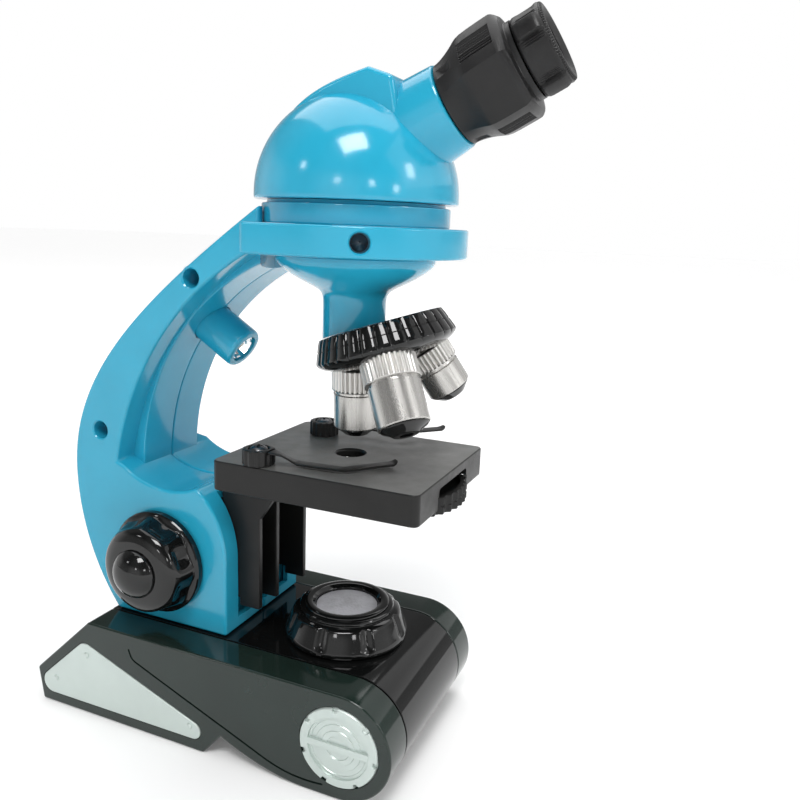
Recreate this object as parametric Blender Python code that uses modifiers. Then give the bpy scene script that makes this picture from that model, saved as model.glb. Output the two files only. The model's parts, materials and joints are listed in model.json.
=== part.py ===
"""Kids microscope: blue arm and head, black base with an illuminator,
rack-and-pinion stage, three-objective turret and a slanted eyepiece.

Frame: +Z up, the lamp end of the base faces -Y, the arm stands at +Y.
The origin is under the middle of the outline, on the table.
Dimensions are in millimetres here and are scaled to metres on entry.
"""
import bpy
import bmesh
import math
from mathutils import Matrix, Vector

MM = 0.001
GAP = 0.3                       # play between two fixed pieces
RUN = 0.06                      # radial play of a shaft in its hole

# ---- driving dimensions ------------------------------------------------
AXIS_Y = -23.7                  # optical axis

BASE_HALF = 41.9                # half width over the side covers
SEAM = 27.6                     # side cover seam, half spacing
BASE_TOP = 40.6
NOSE_R = BASE_TOP / 2           # front roll of the base
NOSE_Y = -42.4
BACK_Y = 98.40
WALL = 2.2

LAMP_TOP = 54.4
LAMP_R = 16.7

ARM_HALF = 26.8
BOW_Y, BOW_Z = -53.1, 81.5      # inner bow of the arm sides
BOW_R = {"left": 121.0, "right": 125.5}
SPINE_HALF = 17.0               # the spine stands proud between the sides
SPINE_Y, SPINE_Z, SPINE_R = -32.1, 99.25, 92.5
SLOT_HALF = 18.5
SLOT_FLOOR = 45.5

FOCUS_Y, FOCUS_Z = 45.1, 66.9   # focus shaft
PITCH_R = 6.0                   # pinion pitch radius
TEETH = 12

STAGE_HALF = 34.2
STAGE_FRONT, STAGE_BACK = -65.2, 15.1
STAGE_TOP, STAGE_BOTTOM = 114.25, 103.1
WHEEL_Y, WHEEL_R = -39.5, 29.5
POSTS = {"left": (-29.4, -1.9, 0.0), "right": (18.5, -2.2, -3.0)}

COLLAR_R = 39.9
COLLAR_BOTTOM, COLLAR_TOP = 188.0, 198.2
COLLAR_BACK = -0.4
DISC_TOP = 205.0
DISC_R = 33.3
NECK_R = 11.5

DOME_R, DOME_Z, DOME_FLOOR = 36.0, 207.9, 206.2
EYE_TILT = math.radians(29.0)
EYE_Y, EYE_Z = -58.5, 238.0     # middle of the tube mouth
TUBE_BORE = 12.12

TURRET_TILT = math.radians(19.3)
TURRET_Y, TURRET_Z = -35.66, 159.64
TURRET_TOP_R, TURRET_R, TURRET_H = 23.0, 26.2, 9.15
OBJ_RING = 13.9                 # objective seats, radius on the lower face
# turn about the turret, length from the seat, barrel radius
OBJECTIVES = {"low": (8.0, 26.6, 8.5), "high": (-112.0, 28.2, 9.2), "mid": (128.0, 21.8, 8.3)}
RING_TOP, RING_LOW = 6.2, 13.2  # knurled ring of an objective


# ---- scene -------------------------------------------------------------
for ob in list(bpy.data.objects):
    bpy.data.objects.remove(ob, do_unlink=True)
scene = bpy.context.scene
scene.unit_settings.system = "METRIC"
PARTS = bpy.data.collections.new("kids_microscope")
CUTTERS = bpy.data.collections.new("cutters")
scene.collection.children.link(PARTS)
scene.collection.children.link(CUTTERS)
CUTTERS.hide_render = True


def material(name, rgb, metallic=0.0, rough=0.4):
    mat = bpy.data.materials.new(name)
    mat.use_nodes = True
    bsdf = mat.node_tree.nodes["Principled BSDF"]
    bsdf.inputs["Base Color"].default_value = (*rgb, 1.0)
    bsdf.inputs["Metallic"].default_value = metallic
    bsdf.inputs["Roughness"].default_value = rough
    mat.diffuse_color = (*rgb, 1.0)
    return mat


BLUE = material("blue_plastic", (0.03, 0.33, 0.52), 0.0, 0.25)
BLACK = material("gloss_black_plastic", (0.012, 0.013, 0.013), 0.0, 0.12)
SATIN = material("satin_black_plastic", (0.03, 0.03, 0.032), 0.0, 0.4)
CHARCOAL = material("charcoal_rubbery_plastic", (0.035, 0.035, 0.038), 0.0, 0.55)
SILVER = material("silver_trim", (0.55, 0.6, 0.57), 0.6, 0.35)
CHROME = material("satin_chrome", (0.75, 0.75, 0.73), 1.0, 0.22)
STEEL = material("steel", (0.6, 0.6, 0.6), 1.0, 0.3)
FROST = material("frosted_lens", (0.6, 0.6, 0.63), 0.0, 0.5)
GLASS = material("clear_glass", (0.7, 0.75, 0.8), 0.0, 0.05)
LEDMAT = material("led_resin", (0.85, 0.85, 0.75), 0.0, 0.2)


# ---- builders ----------------------------------------------------------
def link(name, bm, mat=None, smooth=False, normals=True):
    if normals:
        bmesh.ops.recalc_face_normals(bm, faces=bm.faces)
    me = bpy.data.meshes.new(name)
    bm.to_mesh(me)
    bm.free()
    ob = bpy.data.objects.new(name, me)
    if mat:
        me.materials.append(mat)
        PARTS.objects.link(ob)
    else:
        CUTTERS.objects.link(ob)
        ob.hide_render = True
        ob.display_type = "WIRE"
    if smooth:
        for p in me.polygons:
            p.use_smooth = True
    return ob


def extrude(name, outline, a, b, axis, mat=None):
    """Prism of a closed outline between a and b along X (outline y, z),
    Y (outline x, z) or Z (outline x, y)."""
    place = {"X": lambda u, v, w: (w, u, v),
             "Y": lambda u, v, w: (u, w, v),
             "Z": lambda u, v, w: (u, v, w)}[axis]
    bm = bmesh.new()
    low = [bm.verts.new(Vector(place(u, v, a)) * MM) for u, v in outline]
    top = [bm.verts.new(Vector(place(u, v, b)) * MM) for u, v in outline]
    n = len(outline)
    bm.faces.new(low)
    bm.faces.new(top)
    for i in range(n):
        j = (i + 1) % n
        bm.faces.new((low[i], low[j], top[j], top[i]))
    return link(name, bm, mat)


def box(name, x0, x1, y0, y1, z0, z1, mat=None):
    return extrude(name, [(x0, y0), (x1, y0), (x1, y1), (x0, y1)], z0, z1, "Z", mat)


def axis_matrix(origin, direction):
    """Local +Z along direction, local +X kept level when it can be."""
    z = Vector(direction).normalized()
    x = Vector((1, 0, 0)) if abs(z.x) < 0.9 else Vector((0, 1, 0))
    y = z.cross(x).normalized()
    x = y.cross(z)
    m = Matrix((x, y, z)).transposed().to_4x4()
    m.translation = Vector(origin) * MM
    return m


def lathe(name, profile, origin, direction=(0, 0, 1), steps=32, mat=None):
    """Screw a (radius, height) profile about a line; a closed profile off
    the axis makes a ring. The profile runs top to bottom on the outside."""
    bm = bmesh.new()
    vs = [bm.verts.new((r * MM, 0, h * MM)) for r, h in profile]
    for a, b in zip(vs, vs[1:]):
        bm.edges.new((a, b))
    if all(r > 1e-6 for r, h in profile):
        bm.edges.new((vs[-1], vs[0]))
    ob = link(name, bm, mat, normals=False)
    ob.matrix_world = axis_matrix(origin, direction)
    sc = ob.modifiers.new("turn", "SCREW")
    sc.axis = "Z"
    sc.steps = sc.render_steps = steps
    sc.use_merge_vertices = True
    sc.merge_threshold = 0.00001
    sc.use_smooth_shade = True
    return ob


def rod(name, r, h0, h1, origin, direction=(0, 0, 1), steps=24, mat=None):
    return lathe(name, [(0, h1), (r, h1), (r, h0), (0, h0)], origin, direction, steps, mat)


def lobed(name, rings, count, origin, direction=(0, 0, 1), mat=None, shape=None, hollow=False):
    """Skin rings of (radius, height, lobe depth); shape(angle) runs 0 at a
    crest to 1 in a valley. Solid to the axis, or a ring when hollow."""
    bm = bmesh.new()
    loops = []
    for r, h, depth in rings:
        loop = []
        for i in range(count):
            a = 2 * math.pi * i / count
            rr = r - depth * (shape(a) if shape else 0.0)
            loop.append(bm.verts.new(Vector((rr * math.cos(a), rr * math.sin(a), h)) * MM))
        loops.append(loop)
    pairs = list(zip(loops, loops[1:]))
    if hollow:
        pairs.append((loops[-1], loops[0]))
    else:
        bm.faces.new(loops[0])
        bm.faces.new(loops[-1])
    for la, lb in pairs:
        for i in range(count):
            j = (i + 1) % count
            bm.faces.new((la[i], la[j], lb[j], lb[i]))
    ob = link(name, bm, mat, smooth=True)
    ob.matrix_world = axis_matrix(origin, direction)
    return ob


def boolean(ob, other, op="DIFFERENCE"):
    m = ob.modifiers.new(other.name, "BOOLEAN")
    m.operation = op
    m.solver = "EXACT"
    m.object = other
    if other.name not in CUTTERS.objects:
        PARTS.objects.unlink(other)
        CUTTERS.objects.link(other)
        other.hide_render = True
        other.display_type = "WIRE"
    return ob


def cut(ob, *others):
    for o in others:
        boolean(ob, o)
    return ob


def fuse(ob, *others):
    for o in others:
        boolean(ob, o, "UNION")
    return ob


def bevel(ob, width, segments=1, angle=35):
    m = ob.modifiers.new("edges", "BEVEL")
    m.width = width * MM
    m.segments = segments
    m.limit_method = "ANGLE"
    m.angle_limit = math.radians(angle)
    m.use_clamp_overlap = True
    m.harden_normals = False
    return ob


def arc(cx, cy, r, a0, a1, n):
    return [(cx + r * math.cos(math.radians(a0 + (a1 - a0) * i / n)),
             cy + r * math.sin(math.radians(a0 + (a1 - a0) * i / n))) for i in range(n + 1)]


def bezier(p0, p1, p2, p3, n):
    out = []
    for i in range(n + 1):
        t = i / n
        s = 1 - t
        out.append(tuple(s**3 * a + 3 * s * s * t * b + 3 * s * t * t * c + t**3 * d
                         for a, b, c, d in zip(p0, p1, p2, p3)))
    return out


def inset(outline, d):
    """Offset a counter-clockwise outline inward with mitred corners."""
    n = len(outline)
    out = []
    for i in range(n):
        p, q, r = (Vector(outline[k % n]) for k in (i - 1, i, i + 1))
        e0, e1 = (q - p).normalized(), (r - q).normalized()
        n0, n1 = Vector((-e0.y, e0.x)), Vector((-e1.y, e1.x))
        m = (n0 + n1).normalized()
        out.append(tuple(q + m * (d / max(0.35, m.dot(n0)))))
    return out


def rounded_hull(circles, n=4):
    """Outline round a set of (u, v, r) circles, counter-clockwise."""
    out = []
    k = len(circles)
    for i in range(k):
        c, before, after = circles[i], circles[i - 1], circles[(i + 1) % k]

        def normal(p, q):
            d = math.atan2(q[1] - p[1], q[0] - p[0])
            return d - math.acos((p[2] - q[2]) / math.hypot(q[0] - p[0], q[1] - p[1]))
        a0 = normal(before, c)
        a1 = normal(c, after)
        while a1 < a0:
            a1 += 2 * math.pi
        out += arc(c[0], c[1], c[2], math.degrees(a0), math.degrees(a1), n)
    return out


def rounded_rect(u0, u1, v0, v1, r, n=3):
    return (arc(u0 + r, v0 + r, r, 180, 270, n) + arc(u1 - r, v0 + r, r, 270, 360, n)
            + arc(u1 - r, v1 - r, r, 0, 90, n) + arc(u0 + r, v1 - r, r, 90, 180, n))


AXIS = (0, AXIS_Y, 0)
SIDES = (("left", -1), ("right", 1))


# ---- base --------------------------------------------------------------
def base_outline(w=0.0, floor=0.0, n=11):
    """Side view of the base, w inside its skin: front roll, arched belly
    up to a small notch, rear foot, sloped back, flat top."""
    pts = arc(NOSE_Y, NOSE_R, NOSE_R - w, 90, 270, n)
    for i in range(6):
        t = i / 5
        pts.append((-29 + 36.2 * t, w + 9.3 * t ** 1.8))
    pts += [(15.1 + w, floor), (BACK_Y - 2.1 - w, floor), (BACK_Y - w, 13.8 - 0.3 * w),
            (69.9 - 0.55 * w, BASE_TOP - w)]
    return pts


base_shell = extrude("base_shell", base_outline(), -SEAM + GAP / 2, SEAM - GAP / 2, "X", BLACK)
bevel(base_shell, 0.5, 1, 40)
cut(base_shell,
    extrude("base_hollow", base_outline(WALL, -1.0), -SEAM + WALL, SEAM - WALL, "X"),
    rod("lamp_hole", 6.0, BASE_TOP - 5, BASE_TOP + 3, AXIS, mat=None))

PLATE_X, PLATE_Y0, PLATE_Y1 = SEAM - WALL - GAP, 15.1 + WALL + 0.4, BACK_Y - 2.1 - WALL - 0.4
base_plate = box("base_plate", -PLATE_X, PLATE_X, PLATE_Y0, PLATE_Y1, 0.0, 2.0, BLACK)
cut(base_plate, box("door_hole", -17.0, 17.0, 30.0, 82.0, -1, 3))
battery_door = box("battery_door", -17.0 + GAP, 17.0 - GAP, 30.0 + GAP, 82.0 - GAP, 0.0, 1.8, BLACK)
cut(battery_door,
    extrude("door_grips", rounded_rect(-8, 8, 71.0, 72.6, 0.7, 1), -1, 0.6, "Z"),
    extrude("door_grip_b", rounded_rect(-8, 8, 74.0, 75.6, 0.7, 1), -1, 0.6, "Z"),
    rod("door_screw_seat", 3.2, -1, 0.9, (0, 35.5, 0), steps=16),
    rod("door_screw_hole", 1.5, -1, 3, (0, 35.5, 0), steps=12))
door_screw = fuse(rod("door_screw", 2.7, 0.0, 0.6, (0, 35.5, 0.3), steps=20, mat=STEEL),
                  rod("door_screw_shank", 1.2, 0.2, 6.0, (0, 35.5, 0.3), steps=12))

TRIM = [(19.6, 8.3, 3.5), (90.3, 9.2, 4.7), (71.6, 26.6, 4.5)]


def groove_path():
    """Lower edge of the swoosh on the side cover, from its hook by the
    arm to a tangent under the round cap."""
    return (bezier((49.6, 34.4), (48.6, 32.0), (48.8, 31.0), (46.6, 29.8), 2)
            + bezier((46.6, 29.8), (20, 19.2), (2.0, 12.5), (-12, 6.9), 5)[1:]
            + bezier((-12, 6.9), (-20, 3.9), (-27, 3.0), (-36.5, 4.1), 4)[1:])


def ribbon(path, half):
    left, right = [], []
    for i, p in enumerate(path):
        a = Vector(path[max(0, i - 1)])
        b = Vector(path[min(len(path) - 1, i + 1)])
        t = (b - a).normalized()
        nrm = Vector((-t.y, t.x)) * half
        left.append(tuple(Vector(p) + nrm))
        right.append(tuple(Vector(p) - nrm))
    return left + right[::-1]


for side, s in SIDES:
    x_in, x_out = s * (SEAM + GAP / 2), s * BASE_HALF
    cover = extrude("side_cover_" + side, base_outline(), x_in, x_out, "X", BLACK)
    bevel(cover, 0.8, 1, 40)
    trim_seat = extrude("trim_seat_" + side, rounded_hull([(u, v, r + 0.3) for u, v, r in TRIM]),
                        s * (BASE_HALF - 0.9), s * (BASE_HALF + 2), "X")
    groove = extrude("swoosh_" + side, ribbon(groove_path(), 0.35),
                     s * (BASE_HALF - 0.6), s * (BASE_HALF + 2), "X")
    hollow = extrude("cover_hollow_" + side, base_outline(WALL, WALL), s * (SEAM - 2),
                     s * (BASE_HALF - WALL - 0.8), "X")
    cap_seat = rod("cap_seat_" + side, 15.6, 0, 6, (s * (BASE_HALF - 1.1), NOSE_Y - 0.2, 20.6),
                   (s, 0, 0), steps=26)
    cut(cover, hollow, trim_seat, groove, cap_seat)

    trim = extrude("trim_plate_" + side, rounded_hull(TRIM), s * (BASE_HALF - 0.6),
                   s * (BASE_HALF + 0.3), "X", SILVER)
    bevel(trim, 0.25, 1, 50)
    fuse(trim, *[lathe("stud_%s_%d" % (side, i), [(0, 0.9), (0.9, 0.6), (1.3, 0), (1.3, -0.5), (0, -0.5)],
                       (s * (BASE_HALF + 0.2), y, z), (s, 0, 0), 8)
                 for i, (y, z) in enumerate(((20.9, 10.0), (88.0, 11.7), (71.0, 26.3)))])

    cap = lathe("disc_cap_" + side,
                [(0, 1.1), (8.8, 1.1), (8.8, 0.6), (11.8, 0.6), (11.8, 1.5), (14.9, 1.5), (15.3, 1.1), (15.3, 0), (0, 0)],
                (s * (BASE_HALF - 0.8), NOSE_Y - 0.2, 20.6), (s, 0, 0), 26, SILVER)
    bar_y = NOSE_Y - 0.2
    fuse(cap, extrude("coin_bar_" + side, rounded_rect(bar_y - 11.7, bar_y + 11.7, 19.6, 21.6, 0.9, 2),
                      s * (BASE_HALF - 0.5), s * (BASE_HALF + 0.95), "X"))

# ---- illuminator on the base -------------------------------------------
def scoops(a):
    """Eight narrow scoops down the skirt."""
    return 1.0 if math.cos(8 * a) > 0.9 else 0.0


lamp_housing = lobed("lamp_housing",
                     [(23.9, BASE_TOP + GAP, 0), (24.3, 42.4, 0), (24.0, 43.5, 0.4), (22.9, 46.4, 1.4),
                      (21.1, 50.4, 1.4), (20.5, 50.9, 1.2), (18.5, 51.5, 0), (18.3, 52.2, 0), (17.9, 53.3, 0),
                      (15.3, 53.3, 0), (15.3, 50.2, 0), (12.9, 50.2, 0), (12.9, 47.6, 0), (17.0, 46.6, 0),
                      (21.0, BASE_TOP + GAP, 0)],
                     32, AXIS, mat=BLACK, shape=scoops, hollow=True)
lamp_bezel = lathe("lamp_bezel",
                   [(LAMP_R - 0.4, LAMP_TOP), (LAMP_R, LAMP_TOP - 0.4), (LAMP_R, 53.6), (15.0, 53.6),
                    (15.0, 50.5), (12.3, 50.5), (12.3, 52.6), (13.7, LAMP_TOP)],
                   AXIS, steps=24, mat=BLACK)
lamp_lens = lathe("lamp_lens", [(0, 52.7), (8, 52.5), (12.0, 52.1), (12.0, 47.9), (0, 47.9)],
                  AXIS, steps=24, mat=FROST)
lamp_led = fuse(lathe("lamp_led", [(0, 46.6), (1.6, 46.1), (2.5, 44.6), (2.5, 40.0), (0, 40.0)], AXIS, steps=12, mat=LEDMAT),
                rod("led_board", 5.6, 38.2, 40.2, AXIS, steps=14))

# ---- arm ---------------------------------------------------------------
def arm_outline(bow_r):
    """Counter-clockwise side view: foot, flat front, shouldered ledge,
    inner bow, collar seat, outer back."""
    front = STAGE_BACK - 0.3
    ledge_y, ledge_z = 63.9, 103.9
    out = [(front, BASE_TOP + GAP), (68.1, BASE_TOP + GAP)]
    out += arc(-8.3, 98.4, 95.6, math.degrees(math.asin((46.5 - 98.4) / 95.6)), 0, 5)
    out += bezier((87.3, 98.4), (87.3, 139.4), (48.0, 170.7), (COLLAR_BACK + GAP, 204.0), 10)[1:]
    a_top = math.degrees(math.acos((COLLAR_BACK + GAP - BOW_Y) / bow_r))
    a_low = math.degrees(math.asin((ledge_z - BOW_Z) / bow_r))
    out += arc(BOW_Y, BOW_Z, bow_r, a_top, a_low, 9)
    out += bezier((ledge_y, ledge_z), (54.0, 95.0), (38.0, 94.0), (28.2, 98.9), 4)[1:]
    out += bezier((28.2, 98.9), (21.0, 94.5), (front, 84.0), (front, 70.0), 4)[1:]
    return out


LAMP2_TILT = math.radians(32.0)
LAMP2_DIR = (0, -math.cos(LAMP2_TILT), -math.sin(LAMP2_TILT))
LAMP2_END = (0, 23.8, 149.2)
LAMP2_R = 8.4
SCREWS = (("upper", 28.6, 177.8), ("lower", 73.6, 115.7))

for side, s in SIDES:
    outline = arm_outline(BOW_R[side])
    half = extrude("arm_half_" + side, outline, s * 0.1, s * ARM_HALF, "X", BLUE)
    bevel(half, 1.2, 1, 50)
    a0 = math.degrees(math.asin((97.5 - SPINE_Z) / SPINE_R))
    a1 = math.degrees(math.acos((COLLAR_BACK + GAP - SPINE_Y) / SPINE_R))
    b0 = math.degrees(math.asin((97.5 - BOW_Z) / (BOW_R[side] + 1.0)))
    b1 = math.degrees(math.acos((COLLAR_BACK + GAP - BOW_Y) / (BOW_R[side] + 1.0)))
    spine = extrude("spine_" + side,
                    arc(SPINE_Y, SPINE_Z, SPINE_R, a0, a1, 9) + arc(BOW_Y, BOW_Z, BOW_R[side] + 1.0, b1, b0, 4),
                    s * 0.1, s * SPINE_HALF, "X")
    cut(half, extrude("arm_hollow_" + side, inset(outline, WALL), -s * 1.0, s * (ARM_HALF - WALL), "X"),
        box("stage_slot_" + side, *sorted((-s * 1.0, s * SLOT_HALF)), 8, 24.5, SLOT_FLOOR, 110))
    fuse(half, spine)
    guide = box("guide_" + side, *sorted((s * (SLOT_HALF + 0.2), s * (SLOT_HALF + 2.4))), 19.0, 27.0, 42.5, 82.0)
    boss = rod("shaft_boss_" + side, 6.5, 12.0, ARM_HALF - 1.0, (0, FOCUS_Y, FOCUS_Z), (s, 0, 0), 20)
    fuse(half, guide, boss)
    for nm, y, z in SCREWS:
        reach = ARM_HALF - 1.0 if s < 0 else SPINE_HALF - 1.0
        fuse(half, rod("post_%s_%s" % (nm, side), 4.6, 0.4, reach, (0, y, z), (s, 0, 0), 16))
        if s < 0:
            cut(half, rod("screw_seat_" + nm, 3.5, 17.0, ARM_HALF + 2, (0, y, z), (s, 0, 0), 20),
                rod("screw_way_" + nm, 1.6, -1, 18, (0, y, z), (s, 0, 0), 12))
        else:
            cut(half, rod("screw_pilot_" + nm, 1.6, -1, 14.0, (0, y, z), (s, 0, 0), 12))
    cut(half,
        rod("shaft_hole_" + side, 3.0 + RUN, -2, ARM_HALF + 4, (0, FOCUS_Y, FOCUS_Z), (s, 0, 0), 20),
        rod("bell_clear_" + side, DISC_R + 0.5, 170.0, 210.0, AXIS, steps=36),
        rod("boss_way_" + side, LAMP2_R + GAP, -38.0, -4.0, LAMP2_END, LAMP2_DIR, steps=20))

for nm, y, z in SCREWS:
    lathe("arm_screw_" + nm, [(0, 18.9), (2.4, 18.4), (3.0, 17.3), (1.3, 17.3), (1.3, -12.0), (0, -12.0)],
          (0, y, z), (-1, 0, 0), 14, STEEL)

# top lamp on the arm: barrel through the spine, reflector and LED
top_lamp = lathe("top_lamp_housing",
                 [(7.2, 0), (8.0, -0.5), (LAMP2_R, -1.6), (LAMP2_R, -36.0), (5.0, -36.0), (5.0, -6.5),
                  (5.6, -6.2), (5.8, 0)],
                 LAMP2_END, LAMP2_DIR, 22, BLUE)
reflector = lathe("top_lamp_reflector",
                  [(5.3, -1.0), (5.3, -5.9), (2.9, -5.9), (2.9, -5.3), (4.9, -1.0)],
                  LAMP2_END, LAMP2_DIR, 16, CHROME)
top_led = lathe("top_lamp_led", [(0, -1.8), (1.5, -2.3), (2.5, -3.9), (2.5, -9.0), (0, -9.0)], LAMP2_END, LAMP2_DIR, 12, LEDMAT)

# ---- focus drive -------------------------------------------------------
focus_shaft = rod("focus_shaft", 3.0, -40.0, 40.0, (0, FOCUS_Y, FOCUS_Z), (1, 0, 0), 20, STEEL)


def gear_outline(teeth, module, backlash=0.22):
    """Straight-flanked teeth that clear the rack; one crest faces -Y."""
    pitch = math.pi * 2 / teeth
    out = []
    for k in range(teeth):
        a = math.pi + k * pitch
        r = teeth * module / 2
        half_pitch_tooth = (math.pi * module / 4 - backlash / 2) / r
        root, tip = r - 1.25 * module, r + 0.85 * module
        for da, rr in ((-half_pitch_tooth * 1.42, root), (-half_pitch_tooth * 0.42, tip),
                       (half_pitch_tooth * 0.42, tip), (half_pitch_tooth * 1.42, root)):
            out.append((rr * math.cos(a + da), rr * math.sin(a + da)))
    return out


MODULE = 2 * PITCH_R / TEETH
pinion = extrude("focus_pinion", gear_outline(TEETH, MODULE), -4.5, 4.5, "Z", SATIN)
pinion.matrix_world = Matrix.Translation(Vector((0, FOCUS_Y, FOCUS_Z)) * MM) @ \
    Matrix(((0, 0, 1, 0), (1, 0, 0, 0), (0, 1, 0, 0), (0, 0, 0, 1)))
cut(pinion, rod("pinion_bore", 3.0 + RUN, -8, 8, (0, FOCUS_Y, FOCUS_Z), (1, 0, 0), 20))


def flutes(a):
    return 0.5 - 0.5 * math.cos(8 * a)


for side, s in SIDES:
    knob = lobed("focus_knob_" + side,
                 [(20.3, 27.3, 0), (20.4, 30.4, 0), (19.0, 32.2, 1.6), (17.9, 35.6, 2.4),
                  (17.2, 37.8, 0.3), (16.2, 39.6, 0), (13.4, 41.4, 0), (10.0, 42.0, 0)],
                 32, (0, FOCUS_Y, FOCUS_Z), (s, 0, 0), BLACK, flutes)
    cut(knob, rod("knob_bore_" + side, 3.0 + RUN, 20, 40.3, (0, FOCUS_Y, FOCUS_Z), (s, 0, 0), 16),
        rod("knob_back_" + side, 16.0, 25, 29.6, (0, FOCUS_Y, FOCUS_Z), (s, 0, 0), 16))
    boolean(knob, lathe("knob_hub_" + side, [(5.2, 30.5), (5.2, 27.2), (3.0 + RUN, 27.2), (3.0 + RUN, 30.5)],
                        (0, FOCUS_Y, FOCUS_Z), (s, 0, 0), 16), "UNION")
    cap = lathe("knob_cap_" + side,
                [(0, 47.9), (4.4, 47.2), (7.8, 45.2), (9.5, 42.8), (9.3, 42.3), (0, 42.3)],
                (0, FOCUS_Y, FOCUS_Z), (s, 0, 0), 20, BLACK)

# ---- stage -------------------------------------------------------------
def u_bracket():
    """Channel seen from above: two flanges, a web and an off-centre rib."""
    fx, t, web, front = 18.0, 2.4, 22.2, 5.4
    return [(-fx, front), (-fx + t, front), (-fx + t, web - t), (-5.6, web - t), (-5.6, front), (-3.4, front),
            (-3.4, web - t), (fx - t, web - t), (fx - t, front), (fx, front), (fx, web), (-fx, web)]


stage_bracket = extrude("stage_bracket", u_bracket(), 50.5, STAGE_BOTTOM - GAP, "Z", SATIN)
bevel(stage_bracket, 0.4, 1, 50)
for i, x in enumerate((-18.0, 15.6)):
    g = extrude("gusset_%d" % i, [(5.9, 87.0), (5.9, STAGE_BOTTOM - GAP), (-5.0, STAGE_BOTTOM - GAP)],
                x + 0.02, x + 2.38, "X")
    fuse(stage_bracket, g)
cut(stage_bracket, box("bracket_step", -30, 30, STAGE_BACK - 0.9, 30, 40, 54.0))

rack_outline = [(22.5, 56.0), (FOCUS_Y - PITCH_R - 1.25, 56.0)]
pitch_mm = math.pi * MODULE
for k in range(-3, 6):
    zc = FOCUS_Z + (k + 0.5) * pitch_mm
    y0, y1 = FOCUS_Y - PITCH_R - 1.25 * MODULE, FOCUS_Y - PITCH_R + 0.85 * MODULE
    half = pitch_mm / 4 - 0.11
    rack_outline += [(y0, zc - half - 0.42), (y1, zc - half + 0.32), (y1, zc + half - 0.32), (y0, zc + half + 0.42)]
rack_outline += [(FOCUS_Y - PITCH_R - 1.25, 86.0), (22.5, 86.0)]
stage_rack = extrude("stage_rack", rack_outline, -4.0, 4.0, "X", SATIN)

stage_plate = extrude("stage_plate", rounded_rect(-STAGE_HALF, STAGE_HALF, STAGE_FRONT, STAGE_BACK, 2.6, 3),
                      STAGE_BOTTOM, STAGE_TOP, "Z", SATIN)
bevel(stage_plate, 0.5, 1, 50)
cut(stage_plate,
    box("stage_hollow", -STAGE_HALF + 2.2, STAGE_HALF - 2.2, STAGE_FRONT + 2.6, -8.0, 100, STAGE_TOP - 3.2),
    rod("wheel_room", WHEEL_R + 0.5, 95.0, 108.0, (0, WHEEL_Y, 0), steps=48),
    extrude("wheel_window", [(-14.6, 100), (14.6, 100), (14.6, 109.6), (13.4, 110.9), (-13.4, 110.9), (-14.6, 109.6)],
            STAGE_FRONT - 2, STAGE_FRONT + 5, "Y"),
    lathe("stage_hole", [(0, 118), (6.6, 118), (5.4, STAGE_TOP - 1.0), (5.4, 100), (0, 100)], AXIS, steps=24),
    rod("wheel_stud_hole", 1.6, 100, STAGE_TOP - 1.2, (0, WHEEL_Y, 0), steps=12))
for side, (x, y, _) in POSTS.items():
    cut(stage_plate, rod("post_hole_" + side, 1.5, 106.0, 120, (x, y, 0), steps=12))

wheel = lathe("diaphragm_wheel", [(WHEEL_R - 2.0, 105.4), (WHEEL_R - 2.0, 103.4), (2.6, 103.4), (2.6, 105.4)],
              (0, WHEEL_Y, 0), steps=23, mat=SATIN)
for i, r in enumerate((5.0, 4.0, 3.0, 2.2, 1.4, 5.0)):
    a = math.radians(90 + 60 * i)
    cut(wheel, rod("stop_%d" % i, r, 100, 110, (15.8 * math.cos(a), WHEEL_Y + 15.8 * math.sin(a), 0), steps=12))
fuse(wheel, lobed("wheel_rim", [(WHEEL_R, 101.1, 0.7), (WHEEL_R, 107.3, 0.7), (WHEEL_R - 2.6, 107.3, 0), (WHEEL_R - 2.6, 101.1, 0)],
                  48, (0, WHEEL_Y, 0), shape=lambda a: 1.0 if math.cos(24 * a) < 0 else 0.0, hollow=True))
wheel_pivot = lathe("wheel_pivot", [(0, STAGE_TOP - 1.6), (1.3, STAGE_TOP - 1.6), (1.3, 110.6), (2.54, 110.6), (2.54, 103.0),
                                    (4.2, 103.0), (4.2, 102.2), (3.2, 101.6), (0, 101.6)], (0, WHEEL_Y, 0), steps=16, mat=STEEL)

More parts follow.
